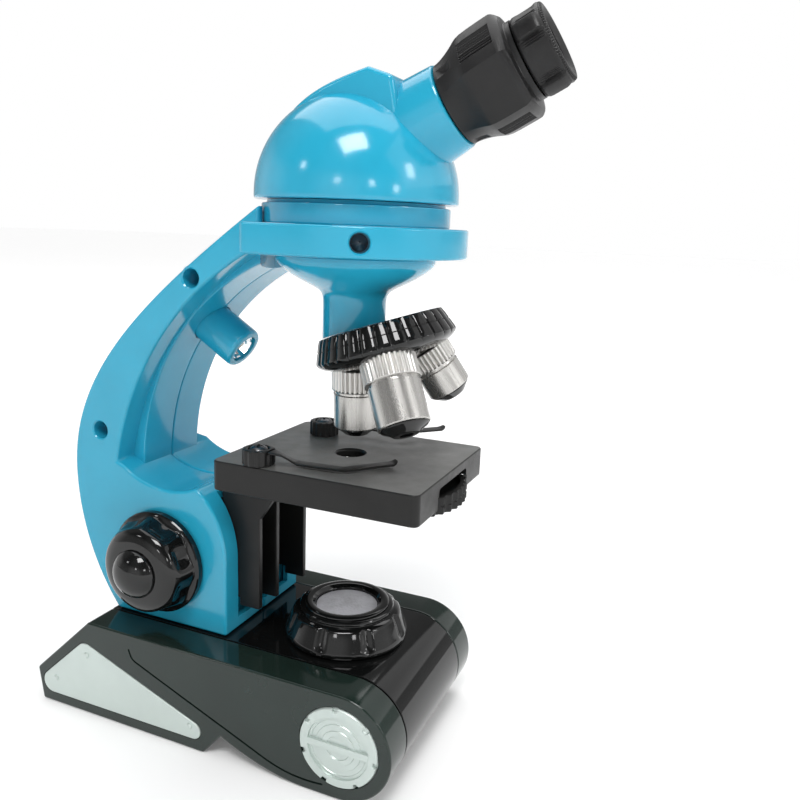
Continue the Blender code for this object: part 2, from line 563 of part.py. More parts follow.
for side, (x, y, turn) in POSTS.items():
    lift = 0.0 if side == "left" else 0.6
    z0 = STAGE_TOP + GAP
    post = lathe("clip_post_" + side, [(5.5, z0 + 5.6), (5.9, z0 + 5.2), (5.9, z0), (2.1, z0), (2.1, z0 + 3.4),
                                       (3.8, z0 + 3.4), (3.8, z0 + 5.6)], (x, y, 0), steps=18, mat=SATIN)
    screw = lathe("clip_screw_" + side, [(0, z0 + 6.6), (2.4, z0 + 6.1), (3.5, z0 + 4.9), (3.5, z0 + 3.8),
                                         (2.04, z0 + 3.8), (2.04, z0 - 0.15), (1.3, z0 - 0.15), (1.3, 107.0), (0, 107.0)],
                  (x, y, 0), steps=14, mat=STEEL)
    slot = box("clip_slot_" + side, -0.45, 0.45, -2.0, 2.0, z0 + 5.6, z0 + 9)
    slot.matrix_world = Matrix.Translation(Vector((x, y, 0)) * MM) @ Matrix.Rotation(math.radians(20), 4, "Z")
    cut(screw, slot)
    # leaf: out of the post, down to the stage, straight run, then turned in
    top, low = 4.4, 0.5 + lift * 5
    spine_pts = [(0.0, -5.2, top), (0.0, -6.8, top), (2.4, -10.2, 2.5 + lift * 3), (4.2, -13.6, low), (5.4, -29.0, low), (6.6, -31.6, low),
                 (20.4, -42.8, low), (21.6, -43.8, low + 0.9)]
    bm = bmesh.new()
    rows = []
    for i, p in enumerate(spine_pts):
        a = Vector(spine_pts[max(0, i - 1)][:2])
        b = Vector(spine_pts[min(len(spine_pts) - 1, i + 1)][:2])
        t = (b - a).normalized()
        hw = 2.3 if i < len(spine_pts) - 1 else 1.5
        nx, ny = -t.y * hw, t.x * hw
        rows.append([bm.verts.new(Vector((p[0] + k * nx, p[1] + k * ny, z0 + p[2] + dz)) * MM)
                     for k, dz in ((1, 0), (-1, 0), (-1, 0.8), (1, 0.8))])
    for ra, rb in zip(rows, rows[1:]):
        for k in range(4):
            bm.faces.new((ra[k], ra[(k + 1) % 4], rb[(k + 1) % 4], rb[k]))
    bm.faces.new(rows[0])
    bm.faces.new(rows[-1])
    leaf = link("clip_leaf_" + side, bm, SATIN)
    leaf.matrix_world = Matrix.Translation(Vector((x, y, 0)) * MM) @ Matrix.Rotation(math.radians(turn), 4, "Z")
    # the root of the leaf sits in a pocket of the post
    pocket = box("leaf_pocket_" + side, -2.7, 2.7, -8.0, -4.9, z0 + top - 0.3, z0 + top + 1.9)
    pocket.matrix_world = leaf.matrix_world.copy()
    cut(post, pocket)

# ---- collar, neck and turning head -------------------------------------
d_plate = (arc(0, AXIS_Y, COLLAR_R, 180, 360, 20) + arc(COLLAR_R - 2.5, COLLAR_BACK - 2.5, 2.5, 0, 90, 3)
           + arc(-COLLAR_R + 2.5, COLLAR_BACK - 2.5, 2.5, 90, 180, 3))
collar_plate = extrude("collar_plate", d_plate, COLLAR_BOTTOM, COLLAR_TOP, "Z", BLUE)
bevel(collar_plate, 0.7, 1, 50)
cut(collar_plate, rod("collar_bore", 24.0 + GAP, 180, 210, AXIS, steps=28))
for side, s in SIDES:
    d = (s * math.cos(math.radians(28)), -math.sin(math.radians(28)), 0)
    o = (0, AXIS_Y, 193.0)
    cut(collar_plate, rod("set_seat_" + side, 3.3, 34.0, 45.0, o, d, 20), rod("set_way_" + side, 1.7, 20.0, 36.0, o, d, 12))
    lathe("collar_screw_" + side, [(0, 35.9), (2.9, 34.8), (2.9, 34.3), (1.4, 34.3), (1.4, 24.4), (0, 24.4)], o, d, 14, STEEL)

turntable = lathe("turntable_disc", [(DISC_R, DISC_TOP), (DISC_R, COLLAR_TOP + GAP),
                                     (22.0, COLLAR_TOP + GAP), (22.0, DISC_TOP)], AXIS, steps=44, mat=BLUE)

bell = lathe("bell_neck",
             [(24.0, COLLAR_TOP - 0.1), (24.0, COLLAR_BOTTOM - GAP), (28.8, COLLAR_BOTTOM - GAP), (28.8, 186.2),
              (27.6, 184.1), (25.2, 182.2), (21.9, 179.9), (16.1, 177.0), (12.6, 175.0), (NECK_R, 173.0),
              (NECK_R, 150.0), (8.6, 150.0), (8.6, 172.6), (21.4, 184.0), (21.4, COLLAR_TOP - 0.1)],
             AXIS, steps=28, mat=BLUE)
turret_n = Vector((0, math.sin(TURRET_TILT), math.cos(TURRET_TILT)))
turret_c = Vector((0, TURRET_Y, TURRET_Z))
below = box("neck_trim", -40, 40, -60, 60, -80, TURRET_H / 2 + GAP)
below.matrix_world = axis_matrix(turret_c, turret_n)
cut(bell, below)

eye_dir = Vector((0, -math.cos(EYE_TILT), math.sin(EYE_TILT)))
eye_o = Vector((0, EYE_Y, EYE_Z))
dome_prof = [(0, DOME_Z + DOME_R)]
for i in range(1, 9):
    a = math.radians(90 - 10.5 * i)
    dome_prof.append((DOME_R * math.cos(a), DOME_Z + DOME_R * math.sin(a)))
dome_prof += [(DOME_R, DOME_Z), (DOME_R, DOME_FLOOR + 0.5), (DOME_R - 0.5, DOME_FLOOR), (0, DOME_FLOOR)]
head = lathe("head_dome", dome_prof, AXIS, steps=40, mat=BLUE)
hood_outline = ([(-33.7, 216.0), (-10.0, 216.0), (-6.0, 233.5)]
                + bezier((-5.2, 235.2), (-12.0, 241.4), (-20.0, 244.8), (-33.7, 248.5), 5))
hood = extrude("hood", hood_outline, -15.5, 15.5, "X")
fuse(head, hood,
     lathe("tube_skin", [(0, 0), (14.0, 0), (14.5, -0.5), (15.1, -7.0), (16.6, -22.0), (17.0, -33.0), (0, -33.0)],
           eye_o, eye_dir, 28))
inner = [(0, DOME_Z + DOME_R - WALL)]
for i in range(1, 7):
    a = math.radians(90 - 13.0 * i)
    inner.append(((DOME_R - WALL) * math.cos(a), DOME_Z + (DOME_R - WALL) * math.sin(a)))
inner += [(DOME_R - WALL, DOME_FLOOR + 2.2), (0, DOME_FLOOR + 2.2)]
cut(head, lathe("dome_hollow", inner, AXIS, steps=22),
    rod("tube_bore", TUBE_BORE, -37, 5, eye_o, eye_dir, 28),
    rod("dome_light_way", 18.0, 200, 212, AXIS, steps=28))
fuse(head, lathe("dome_spigot", [(21.9, DOME_FLOOR + 1.0), (21.9, 199.6), (18.4, 199.6), (18.4, DOME_FLOOR + 1.0)], AXIS, steps=44))

fold = Vector((0, AXIS_Y, 218.7))
mirror_n = (eye_dir - Vector((0, 0, 1))).normalized()
mirror = box("head_mirror", -9, 9, -12, 12, -1.6, 0, GLASS)
mirror.matrix_world = axis_matrix(fold, mirror_n)
back = [fold - mirror_n * 1.9 + Vector((0, mirror_n.z, -mirror_n.y)) * k for k in (-11.5, 11.5)]
low, high = sorted(back, key=lambda p: p.z)
holder = extrude("mirror_holder", [(low.y, low.z), (AXIS_Y + 19.5, DOME_FLOOR + 2.5), (AXIS_Y + 27.0, DOME_FLOOR + 2.5),
                                   (high.y + 4.0, high.z + 2.0), (high.y, high.z)], -8.5, 8.5, "X", SATIN)

# ---- eyepiece ----------------------------------------------------------
def pads(a):
    """Six flats with soft corners: 0 on the corners, 1 on the flats."""
    return 0.5 - 0.5 * math.cos(6 * a)


eyepiece = lobed("eyepiece_body",
                 [(12.03, -16.0, 0), (12.03, GAP, 0), (13.9, GAP, 0), (15.0, 5.0, 0.4),
                  (17.7, 11.2, 0.9), (17.8, 22.6, 0.9), (15.4, 25.2, 0.2),
                  (13.0, 25.4, 0), (13.0, 27.2, 0), (10.0, 27.2, 0), (10.0, 33.0, 0), (8.6, 33.0, 0),
                  (8.6, -16.0, 0)],
                 30, eye_o, eye_dir, CHARCOAL, pads, hollow=True)
for k in range(6):
    rot = Matrix.Rotation(math.radians(30 + 60 * k), 4, "Z")
    window = box("window_%d" % k, 16.0, 22, -4.6, 4.6, 12.6, 21.6)
    window.matrix_world = axis_matrix(eye_o, eye_dir) @ rot
    cut(eyepiece, window)
field_lens = lathe("field_lens", [(0, -13.4), (8.2, -14.2), (8.2, -15.6), (0, -15.6)], eye_o, eye_dir, 16, GLASS)

eye_cup = lobed("eye_cup",
                [(13.6, 27.5, 0.3), (14.6, 29.4, 1.2), (14.7, 36.2, 1.4), (12.8, 38.6, 0.3),
                 (11.2, 38.6, 0), (9.4, 36.6, 0), (9.4, 33.3, 0), (10.0 + RUN, 33.3, 0), (10.0 + RUN, 27.5, 0)],
                32, eye_o, eye_dir, CHARCOAL, lambda a: (0.5 + 0.5 * math.cos(8 * a)) ** 2, hollow=True)
eye_lens = lathe("eye_lens", [(0, 36.3), (5.0, 36.0), (9.1, 34.9), (9.1, 33.6), (0, 33.6)], eye_o, eye_dir, 16, GLASS)

# ---- turret ------------------------------------------------------------
nosepiece = lathe("nosepiece_mount", [(20.6, 4.55), (20.6, 1.8), (2.8, 1.8), (2.8, 4.55)],
                  turret_c, turret_n, 28, SATIN)
seat = turret_c - turret_n * (TURRET_H / 2)


def turret_dir(phi):
    """Seat point and outward direction of an objective: phi 0 is the one
    on the optical axis at the back of the tilted disc."""
    back_way = Vector((0, math.cos(TURRET_TILT), -math.sin(TURRET_TILT)))
    out = math.cos(phi) * back_way + math.sin(phi) * Vector((1, 0, 0))
    point = seat + OBJ_RING * out
    aim = -math.cos(TURRET_TILT) * turret_n + math.sin(TURRET_TILT) * out
    return point, aim


cut(nosepiece, rod("light_way", 5.5, -20, 20, (0, AXIS_Y, 160.5), steps=20))
turret = lobed("turret_disc",
               [(TURRET_TOP_R, 4.57, 0.6), (TURRET_R, -3.7, 0.6), (25.8, -4.7, 0), (23.6, -6.4, 0),
                (19.5, -8.0, 0), (15.5, -8.7, 0), (7.0, -8.7, 0), (7.0, -4.57, 0),
                (2.56, -4.57, 0), (2.56, 1.3, 0), (20.9, 1.3, 0), (20.9, 4.57, 0)],
               48, turret_c, turret_n, BLACK, lambda a: 1.0 if math.cos(24 * a) < 0 else 0.0, hollow=True)
pivot = lathe("turret_pivot", [(0, 4.2), (2.5, 4.2), (2.5, -4.9), (4.6, -4.9), (4.6, -5.7), (3.4, -6.5), (0, -6.5)],
              turret_c, turret_n, 16, STEEL)
for nm, (deg, length, barrel_r) in OBJECTIVES.items():
    point, aim = turret_dir(math.radians(deg))
    cut(turret, rod("seat_%s" % nm, 6.3, -12, 12, point, aim, 16))
    ring_r, ring_low = barrel_r + 0.8, RING_LOW - (1.2 if nm == "mid" else 0)
    lathe("objective_%s_barrel" % nm,
          [(4.0, length), (barrel_r - 0.5, length), (barrel_r, length - 0.5), (barrel_r + 0.2, ring_low + 0.2),
           (ring_r, ring_low - 0.4), (ring_r, RING_TOP + 0.5), (ring_r - 0.5, RING_TOP), (6.0, RING_TOP),
           (6.0, -3.0), (4.0, -3.0)],
          point, aim, 24, CHROME)
    lathe("objective_%s_tip" % nm,
          [(2.4, length + 3.0), (4.6, length + 2.8), (barrel_r - 0.7, length + 0.3), (3.7, length + 0.3),
           (3.7, length - 3.0), (2.4, length - 3.0)],
          point, aim, 18, SATIN)
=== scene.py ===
import json
import math

import bmesh
import bpy
from mathutils import Matrix, Vector


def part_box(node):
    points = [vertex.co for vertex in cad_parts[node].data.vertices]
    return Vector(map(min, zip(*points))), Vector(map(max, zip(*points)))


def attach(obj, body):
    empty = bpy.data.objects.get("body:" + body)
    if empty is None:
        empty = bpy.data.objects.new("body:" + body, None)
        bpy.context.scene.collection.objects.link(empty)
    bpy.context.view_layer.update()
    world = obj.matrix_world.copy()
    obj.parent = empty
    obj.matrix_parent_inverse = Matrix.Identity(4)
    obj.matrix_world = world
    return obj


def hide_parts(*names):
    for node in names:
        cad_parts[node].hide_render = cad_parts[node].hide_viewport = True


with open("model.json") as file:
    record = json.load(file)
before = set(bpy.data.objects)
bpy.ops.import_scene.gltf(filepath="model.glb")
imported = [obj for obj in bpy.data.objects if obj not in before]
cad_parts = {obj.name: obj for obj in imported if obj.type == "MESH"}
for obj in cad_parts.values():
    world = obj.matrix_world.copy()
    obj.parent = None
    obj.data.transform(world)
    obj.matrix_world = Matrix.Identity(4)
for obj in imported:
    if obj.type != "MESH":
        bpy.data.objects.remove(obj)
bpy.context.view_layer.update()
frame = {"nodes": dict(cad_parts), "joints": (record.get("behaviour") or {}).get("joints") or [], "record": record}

# A kids' microscope. Lengths are in millimetres until a mesh is made.
MM = 0.001
JOINT = {j["name"]: j for j in frame["joints"]}


def joint_at(name):
    return Vector(JOINT[name]["pos_m"]) / MM


def top(node):
    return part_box(node)[1].z / MM


HEAD_AXIS = joint_at("head_turn")
AXIS_Y = HEAD_AXIS.y
AXIS = (0, AXIS_Y, 0)
SIDES = (("left", -1), ("right", 1))
GAP = 0.3
WALL = 2.2

BASE_TOP = top("base_shell")
BASE_HALF = 41.9
SEAM = 27.6
NOSE_R = BASE_TOP / 2
NOSE_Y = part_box("base_shell")[0].y / MM + NOSE_R
BACK_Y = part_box("base_shell")[1].y / MM
FOCUS_Y, FOCUS_Z = joint_at("focus_turn").yz
STAGE_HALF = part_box("stage_plate")[1].x / MM
STAGE_FRONT, STAGE_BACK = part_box("stage_plate")[0].y / MM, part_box("stage_plate")[1].y / MM
STAGE_BOTTOM, STAGE_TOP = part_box("stage_plate")[0].z / MM, top("stage_plate")
WHEEL_Y, WHEEL_R = joint_at("wheel_turn").y, 29.5
COLLAR_R = 39.9
COLLAR_BOTTOM, COLLAR_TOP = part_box("collar_plate")[0].z / MM, top("collar_plate")
COLLAR_BACK = -0.4
DISC_R, DISC_TOP = 33.3, top("turntable_disc")
EYE_O = joint_at("eyepiece_slide")
EYE_DIR = Vector(JOINT["eyepiece_slide"]["axis"])
TURRET_C = joint_at("turret_turn")
TURRET_N = Vector(JOINT["turret_turn"]["axis"]).normalized()

# ---- materials ---------------------------------------------------------


class Nodes:
    """Short hand for the node tree of one material."""

    def __init__(self, name):
        self.mat = bpy.data.materials.new(name)
        self.mat.use_nodes = True
        self.tree = self.mat.node_tree
        self.out = self.tree.nodes["Principled BSDF"]
        self.coord = self.add("ShaderNodeTexCoord").outputs["Object"]

    def add(self, kind, links=None, **values):
        node = self.tree.nodes.new(kind)
        for key, value in values.items():
            setattr(node, key, value)
        for socket, source in (links or {}).items():
            if isinstance(source, bpy.types.NodeSocket):
                self.tree.links.new(source, node.inputs[socket])
            else:
                node.inputs[socket].default_value = source
        return node

    def noise(self, scale, detail=3.0, vector=None, rough=0.55):
        links = {"Vector": vector or self.coord, "Scale": scale, "Detail": detail, "Roughness": rough}
        return self.add("ShaderNodeTexNoise", links).outputs["Fac"]

    def spread(self, source, low, high, a=0.3, b=0.7):
        """Map a source that runs from a to b onto low to high."""
        links = {"Value": source, "From Min": a, "From Max": b, "To Min": low, "To Max": high}
        return self.add("ShaderNodeMapRange", links).outputs["Result"]

    def ramp(self, source, *stops):
        node = self.add("ShaderNodeValToRGB", {"Fac": source})
        band = node.color_ramp
        while len(band.elements) < len(stops):
            band.elements.new(0.5)
        for element, (at, colour) in zip(band.elements, stops):
            element.position = at
            element.color = (*colour, 1.0)
        return node.outputs["Color"]

    def put(self, socket, source):
        if isinstance(source, bpy.types.NodeSocket):
            self.tree.links.new(source, self.out.inputs[socket])
        else:
            self.out.inputs[socket].default_value = source

    def bump(self, *layers):
        """Bump layers of (height, distance in metres, strength), one over the other."""
        normal = None
        for height, distance, strength in layers:
            links = {"Height": height, "Distance": distance, "Strength": strength}
            if normal:
                links["Normal"] = normal
            normal = self.add("ShaderNodeBump", links).outputs["Normal"]
        self.put("Normal", normal)


def shades(rgb, spread):
    """Darker, plain and lighter shade of a colour."""
    return [tuple(min(1.0, c * k) for c in rgb) for k in (1 - spread, 1.0, 1 + spread)]


def plastic(name, rgb, rough, spread=0.05, coat=0.0, grain=0.0, grain_scale=1500.0, ripple=0.0,
            metallic=0.0, specular=0.5):
    """Moulded plastic: slow colour drift, uneven polish, moulded grain and a faint long ripple."""
    m = Nodes(name)
    dark, mid, light = shades(rgb, spread)
    m.put("Base Color", m.ramp(m.noise(38, 4), (0.3, dark), (0.5, mid), (0.72, light)))
    m.put("Roughness", m.spread(m.noise(160, 5), rough * 0.82, rough * 1.2))
    m.put("Metallic", metallic)
    m.put("Specular IOR Level", specular)
    m.put("Coat Weight", coat)
    m.put("Coat Roughness", 0.04)
    layers = [(m.noise(26, 1.5), 0.0006, ripple)] if ripple else []
    layers.append((m.noise(grain_scale, 3), 0.00008, grain))
    m.bump(*layers)
    return m.mat


def turned_metal(name, rgb, rough, streak=0.35):
    """Satin plated tube with soft streaks that run along it."""
    m = Nodes(name)
    xyz = m.add("ShaderNodeSeparateXYZ", {"Vector": m.coord})
    y_x = {0: xyz.outputs["Y"], 1: xyz.outputs["X"]}
    angle = m.add("ShaderNodeMath", y_x, operation="ARCTAN2").outputs[0]
    around = m.add("ShaderNodeCombineXYZ", {"X": angle, "Y": xyz.outputs["Z"]}).outputs[0]
    stretched = m.add("ShaderNodeMapping", {"Vector": around, "Scale": (1.0, 6.0, 1.0)}).outputs[0]
    streaks = m.noise(3.4, 5, stretched, 0.6)
    dark, mid, light = shades(rgb, streak)
    m.put("Base Color", m.ramp(streaks, (0.28, dark), (0.5, mid), (0.7, light)))
    m.put("Metallic", 1.0)
    m.put("Roughness", m.spread(streaks, rough * 0.9, rough * 1.15))
    m.bump((m.noise(900, 3), 0.00001, 0.1))
    return m.mat


def steel(name, rgb, rough):
    """Bare metal with a fine uneven polish."""
    m = Nodes(name)
    dark, mid, light = shades(rgb, 0.15)
    m.put("Base Color", m.ramp(m.noise(420, 5), (0.35, dark), (0.5, mid), (0.7, light)))
    m.put("Metallic", 1.0)
    m.put("Roughness", m.spread(m.noise(700, 4), rough * 0.8, rough * 1.4))
    m.bump((m.noise(1400, 3), 0.00003, 0.4))
    return m.mat


def frosted(name):
    """Diffuser: pale, pearly, with a moulded prism stipple."""
    m = Nodes(name)
    cells = m.add("ShaderNodeTexVoronoi", {"Vector": m.coord, "Scale": 950.0}).outputs["Distance"]
    m.put("Base Color", m.ramp(m.noise(180, 3), (0.35, (0.46, 0.46, 0.49)), (0.6, (0.56, 0.56, 0.60))))
    m.put("Roughness", m.spread(m.noise(300, 3), 0.28, 0.5))
    m.put("Coat Weight", 0.5)
    m.put("Coat Roughness", 0.12)
    m.bump((cells, 0.00025, 0.5))
    return m.mat


def glass(name, rgb, rough):
    """Coated lens: dark, with a clear gloss over it."""
    m = Nodes(name)
    dark, mid, light = shades(rgb, 0.2)
    m.put("Base Color", m.ramp(m.noise(90, 2), (0.3, dark), (0.5, mid), (0.7, light)))
    m.put("Roughness", m.spread(m.noise(500, 2), rough, rough * 2))
    m.put("Specular IOR Level", 0.8)
    m.put("Coat Weight", 1.0)
    m.put("Coat Roughness", 0.02)
    m.bump((m.noise(700, 2), 0.00001, 0.1))
    return m.mat


BLUE = plastic("blue_gloss", (0.019, 0.335, 0.505), 0.15, 0.05, coat=0.2, grain=0.10, ripple=0.05)
BLACK = plastic("black_gloss", (0.0042, 0.0045, 0.0045), 0.07, 0.25, grain=0.05, ripple=0.06)
COVER = plastic("black_gloss_cover", (0.011, 0.021, 0.017), 0.10, 0.2, grain=0.06, ripple=0.04)
SATIN = plastic("black_satin", (0.0085, 0.0085, 0.0083), 0.36, 0.25, grain=0.45, grain_scale=2600,
                specular=0.3)
# painted reflection: the stage top is drawn in a far lighter grey than the satin black, standing in for the bright
# surroundings it reflects at a grazing angle
STAGE_TOP_PAINTED_SHEEN = plastic("stage_top_painted_sheen", (0.095, 0.095, 0.091), 0.34, 0.12, grain=0.4, grain_scale=2600)
CHARCOAL = plastic("charcoal_soft", (0.011, 0.0108, 0.0112), 0.36, 0.25, grain=0.4, grain_scale=2200,
                   specular=0.32)
SILVER = plastic("silver_satin", (0.56, 0.63, 0.60), 0.34, 0.04, grain=0.35, grain_scale=1900,
                 metallic=0.55)
CHROME = turned_metal("satin_plate", (0.50, 0.49, 0.47), 0.27, 0.20)
KNURL = turned_metal("knurled_plate", (0.56, 0.55, 0.53), 0.30, 0.10)
DARK_STEEL = steel("dark_steel", (0.11, 0.11, 0.115), 0.32)
FROST = frosted("frosted_diffuser")
LENS = glass("coated_lens", (0.015, 0.02, 0.03), 0.03)
MIRROR = steel("front_mirror", (0.85, 0.87, 0.88), 0.05)
RESIN = plastic("led_resin", (0.62, 0.62, 0.5), 0.14, 0.04, coat=0.6, grain=0.05)

# ---- mesh builders -----------------------------------------------------


def axis_matrix(origin, direction):
    """Frame at origin, in millimetres, whose Z runs along direction."""
    z = Vector(direction).normalized()
    x = Vector((1, 0, 0)) if abs(z.x) < 0.9 else Vector((0, 1, 0))
    y = z.cross(x).normalized()
    x = y.cross(z)
    m = Matrix((x, y, z)).transposed().to_4x4()
    m.translation = Vector(origin) * MM
    return m


def link(name, bm, mat, place=None, keep_axes=False):
    """Object made of a bmesh. With keep_axes its own Z stays on the axis it was turned about."""
    if place is not None and not keep_axes:
        bmesh.ops.transform(bm, matrix=place, verts=bm.verts)
    bmesh.ops.recalc_face_normals(bm, faces=bm.faces)
    me = bpy.data.meshes.new(name)
    bm.to_mesh(me)
    bm.free()
    ob = bpy.data.objects.new(name, me)
    if mat:
        me.materials.append(mat)
    bpy.context.scene.collection.objects.link(ob)
    if keep_axes:
        ob.matrix_world = place
    return ob


def extrude(name, outline, a, b, axis, mat=None, place=None):
    """Prism on an outline, from a to b along an axis. X takes (y, z), Y takes (x, z), Z takes (x, y)."""
    put = {"X": lambda u, v, w: (w, u, v),
           "Y": lambda u, v, w: (u, w, v),
           "Z": lambda u, v, w: (u, v, w)}[axis]
    bm = bmesh.new()
    low = [bm.verts.new(Vector(put(u, v, a)) * MM) for u, v in outline]
    high = [bm.verts.new(Vector(put(u, v, b)) * MM) for u, v in outline]
    bm.faces.new(low)
    bm.faces.new(high)
    for i in range(len(outline)):
        j = (i + 1) % len(outline)
        bm.faces.new((low[i], low[j], high[j], high[i]))
    return link(name, bm, mat, place)


def box(name, x0, x1, y0, y1, z0, z1, mat=None, place=None):
    return extrude(name, [(x0, y0), (x1, y0), (x1, y1), (x0, y1)], z0, z1, "Z", mat, place)


def skin(name, rings, count, origin, direction=(0, 0, 1), mat=None, radius=None, keep_axes=False):
    """Skin of revolution through rings of (radius, height, tag). radius(r, h, tag, angle)
    shapes it. It closes on the axis where a ring has no radius, or onto itself."""
    bm = bmesh.new()
    loops = []
    for ring in rings:
        r, h = ring[0], ring[1]
        tag = ring[2] if len(ring) > 2 else 0.0
        if r < 1e-6:
            loops.append([bm.verts.new(Vector((0, 0, h)) * MM)])
            continue
        loop = []
        for i in range(count):
            a = 2 * math.pi * i / count
            rr = radius(r, h, tag, a) if radius else r
            loop.append(bm.verts.new(Vector((rr * math.cos(a), rr * math.sin(a), h)) * MM))
        loops.append(loop)
    pairs = list(zip(loops, loops[1:]))
    if len(loops[0]) > 1 and len(loops[-1]) > 1:
        pairs.append((loops[-1], loops[0]))
    for la, lb in pairs:
        if len(la) == 1 and len(lb) == 1:
            continue
        for i in range(count):
            j = (i + 1) % count
            if len(la) == 1:
                bm.faces.new((la[0], lb[j], lb[i]))
            elif len(lb) == 1:
                bm.faces.new((la[i], la[j], lb[0]))
            else:
                bm.faces.new((la[i], la[j], lb[j], lb[i]))
    return link(name, bm, mat, axis_matrix(origin, direction), keep_axes)


def rod(name, r, h0, h1, origin, direction=(0, 0, 1), mat=None, count=48):
    return skin(name, [(0, h1), (r, h1), (r, h0), (0, h0)], count, origin, direction, mat)


def applied(ob):
    """Turn the modifiers of ob into its mesh."""
    graph = bpy.context.evaluated_depsgraph_get()
    me = bpy.data.meshes.new_from_object(ob.evaluated_get(graph))
    ob.modifiers.clear()
    old = ob.data
    ob.data = me
    bpy.data.meshes.remove(old)
    return ob


def carve(ob, op, others):
    """Join or cut ob with others, which are used up."""
    for other in others:
        m = ob.modifiers.new("join", "BOOLEAN")
        m.operation = op
        m.solver = "EXACT"
        m.object = other
    applied(ob)
    for other in others:
        mesh = other.data
        bpy.data.objects.remove(other)
        bpy.data.meshes.remove(mesh)
    return ob


def cut(ob, *others):
    return carve(ob, "DIFFERENCE", others)


def fuse(ob, *others):
    return carve(ob, "UNION", others)


def bevel(ob, width, segments=3, angle=35):
    m = ob.modifiers.new("edges", "BEVEL")
    m.width = width * MM
    m.segments = segments
    m.limit_method = "ANGLE"
    m.angle_limit = math.radians(angle)
    m.use_clamp_overlap = True
    return applied(ob)


def soft(ob, angle=34, weighted=True):
    """Smooth shading with creases kept above the angle."""
    me = ob.data
    me.polygons.foreach_set("use_smooth", [True] * len(me.polygons))
    me.set_sharp_from_angle(angle=math.radians(angle))
    if weighted:
        m = ob.modifiers.new("normals", "WEIGHTED_NORMAL")
        m.keep_sharp = True
        m.weight = 60
    return ob


def show(ob, body, slot, *nodes, angle=34, weighted=True):
    """Finish a piece: its shading, the body it rides on and the nodes it stands for. The slot argument is not
    used.
    """
    soft(ob, angle, weighted)
    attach(ob, body)
    if nodes:
        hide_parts(*nodes)
    return ob


def arc(cx, cy, r, a0, a1, n):
    return [(cx + r * math.cos(math.radians(a0 + (a1 - a0) * i / n)),
             cy + r * math.sin(math.radians(a0 + (a1 - a0) * i / n))) for i in range(n + 1)]


def bezier(p0, p1, p2, p3, n):
    out = []
    for i in range(n + 1):
        t = i / n
        s = 1 - t
        out.append(tuple(s**3 * a + 3 * s * s * t * b + 3 * s * t * t * c + t**3 * d
                         for a, b, c, d in zip(p0, p1, p2, p3)))
    return out


def spline(points, n=5):
    """Smooth run through the points, n steps to each span."""
    pts = [Vector(p) for p in points]
    out = [tuple(pts[0])]
    for i in range(len(pts) - 1):
        p0, p1, p2, p3 = pts[max(i - 1, 0)], pts[i], pts[i + 1], pts[min(i + 2, len(pts) - 1)]
        for k in range(1, n + 1):
            t = k / n
            q = 0.5 * ((2 * p1) + (p2 - p0) * t + (2 * p0 - 5 * p1 + 4 * p2 - p3) * t * t
                       + (3 * p1 - p0 - 3 * p2 + p3) * t**3)
            out.append(tuple(q))
    return out


def inset(outline, d):
    """Outline moved in by d."""
    n = len(outline)
    out = []
    for i in range(n):
        p, q, r = (Vector(outline[k % n]) for k in (i - 1, i, i + 1))
        e0, e1 = (q - p).normalized(), (r - q).normalized()
        n0, n1 = Vector((-e0.y, e0.x)), Vector((-e1.y, e1.x))
        m = (n0 + n1).normalized()
        out.append(tuple(q + m * (d / max(0.35, m.dot(n0)))))
    return out


def rounded_hull(circles, n=10):
    """Outline wrapped round circles of (u, v, radius), listed anticlockwise."""
    out = []
    k = len(circles)
    for i in range(k):
        c, before, after = circles[i], circles[i - 1], circles[(i + 1) % k]

        def normal(p, q):
            d = math.atan2(q[1] - p[1], q[0] - p[0])
            return d - math.acos((p[2] - q[2]) / math.hypot(q[0] - p[0], q[1] - p[1]))
        a0 = normal(before, c)
        a1 = normal(c, after)
        while a1 < a0:
            a1 += 2 * math.pi
        out += arc(c[0], c[1], c[2], math.degrees(a0), math.degrees(a1), n)
    return out


def rounded_rect(u0, u1, v0, v1, r, n=6):
    return (arc(u0 + r, v0 + r, r, 180, 270, n) + arc(u1 - r, v0 + r, r, 270, 360, n)
            + arc(u1 - r, v1 - r, r, 0, 90, n) + arc(u0 + r, v1 - r, r, 90, 180, n))


def ribbon(path, half):
    """Outline of a strip, half wide each side of a path."""
    left, right = [], []
    for i, p in enumerate(path):
        a = Vector(path[max(0, i - 1)])
        b = Vector(path[min(len(path) - 1, i + 1)])
        t = (b - a).normalized()
        nrm = Vector((-t.y, t.x)) * half
        left.append(tuple(Vector(p) + nrm))
        right.append(tuple(Vector(p) - nrm))
    return left + right[::-1]


# ---- base --------------------------------------------------------------
def base_outline(w=0.0, floor=0.0, n=36):
    """Side view of the base, w inside its surface: round nose, swept belly, sloped back."""
    pts = arc(NOSE_Y, NOSE_R, NOSE_R - w, 90, 270, n)
    for i in range(13):
        t = i / 12
        pts.append((-29 + 36.2 * t, w + 9.3 * t ** 1.8))
    pts += [(15.1 + w, floor), (BACK_Y - 2.1 - w, floor), (BACK_Y - w, 13.8 - 0.3 * w),
            (69.9 - 0.55 * w, BASE_TOP - w)]
    return pts


SHELL_HALF = SEAM - GAP / 2
shell = bevel(extrude("base_shell_skin", base_outline(), -SHELL_HALF, SHELL_HALF, "X", BLACK), 0.45, 2, 30)
cut(shell, extrude("c", base_outline(WALL, -1.0, 12), -SEAM + WALL, SEAM - WALL, "X"),
    rod("c", 6.0, BASE_TOP - 5, BASE_TOP + 3, AXIS))
show(shell, "base", "gloss_black_plastic", "base_shell")

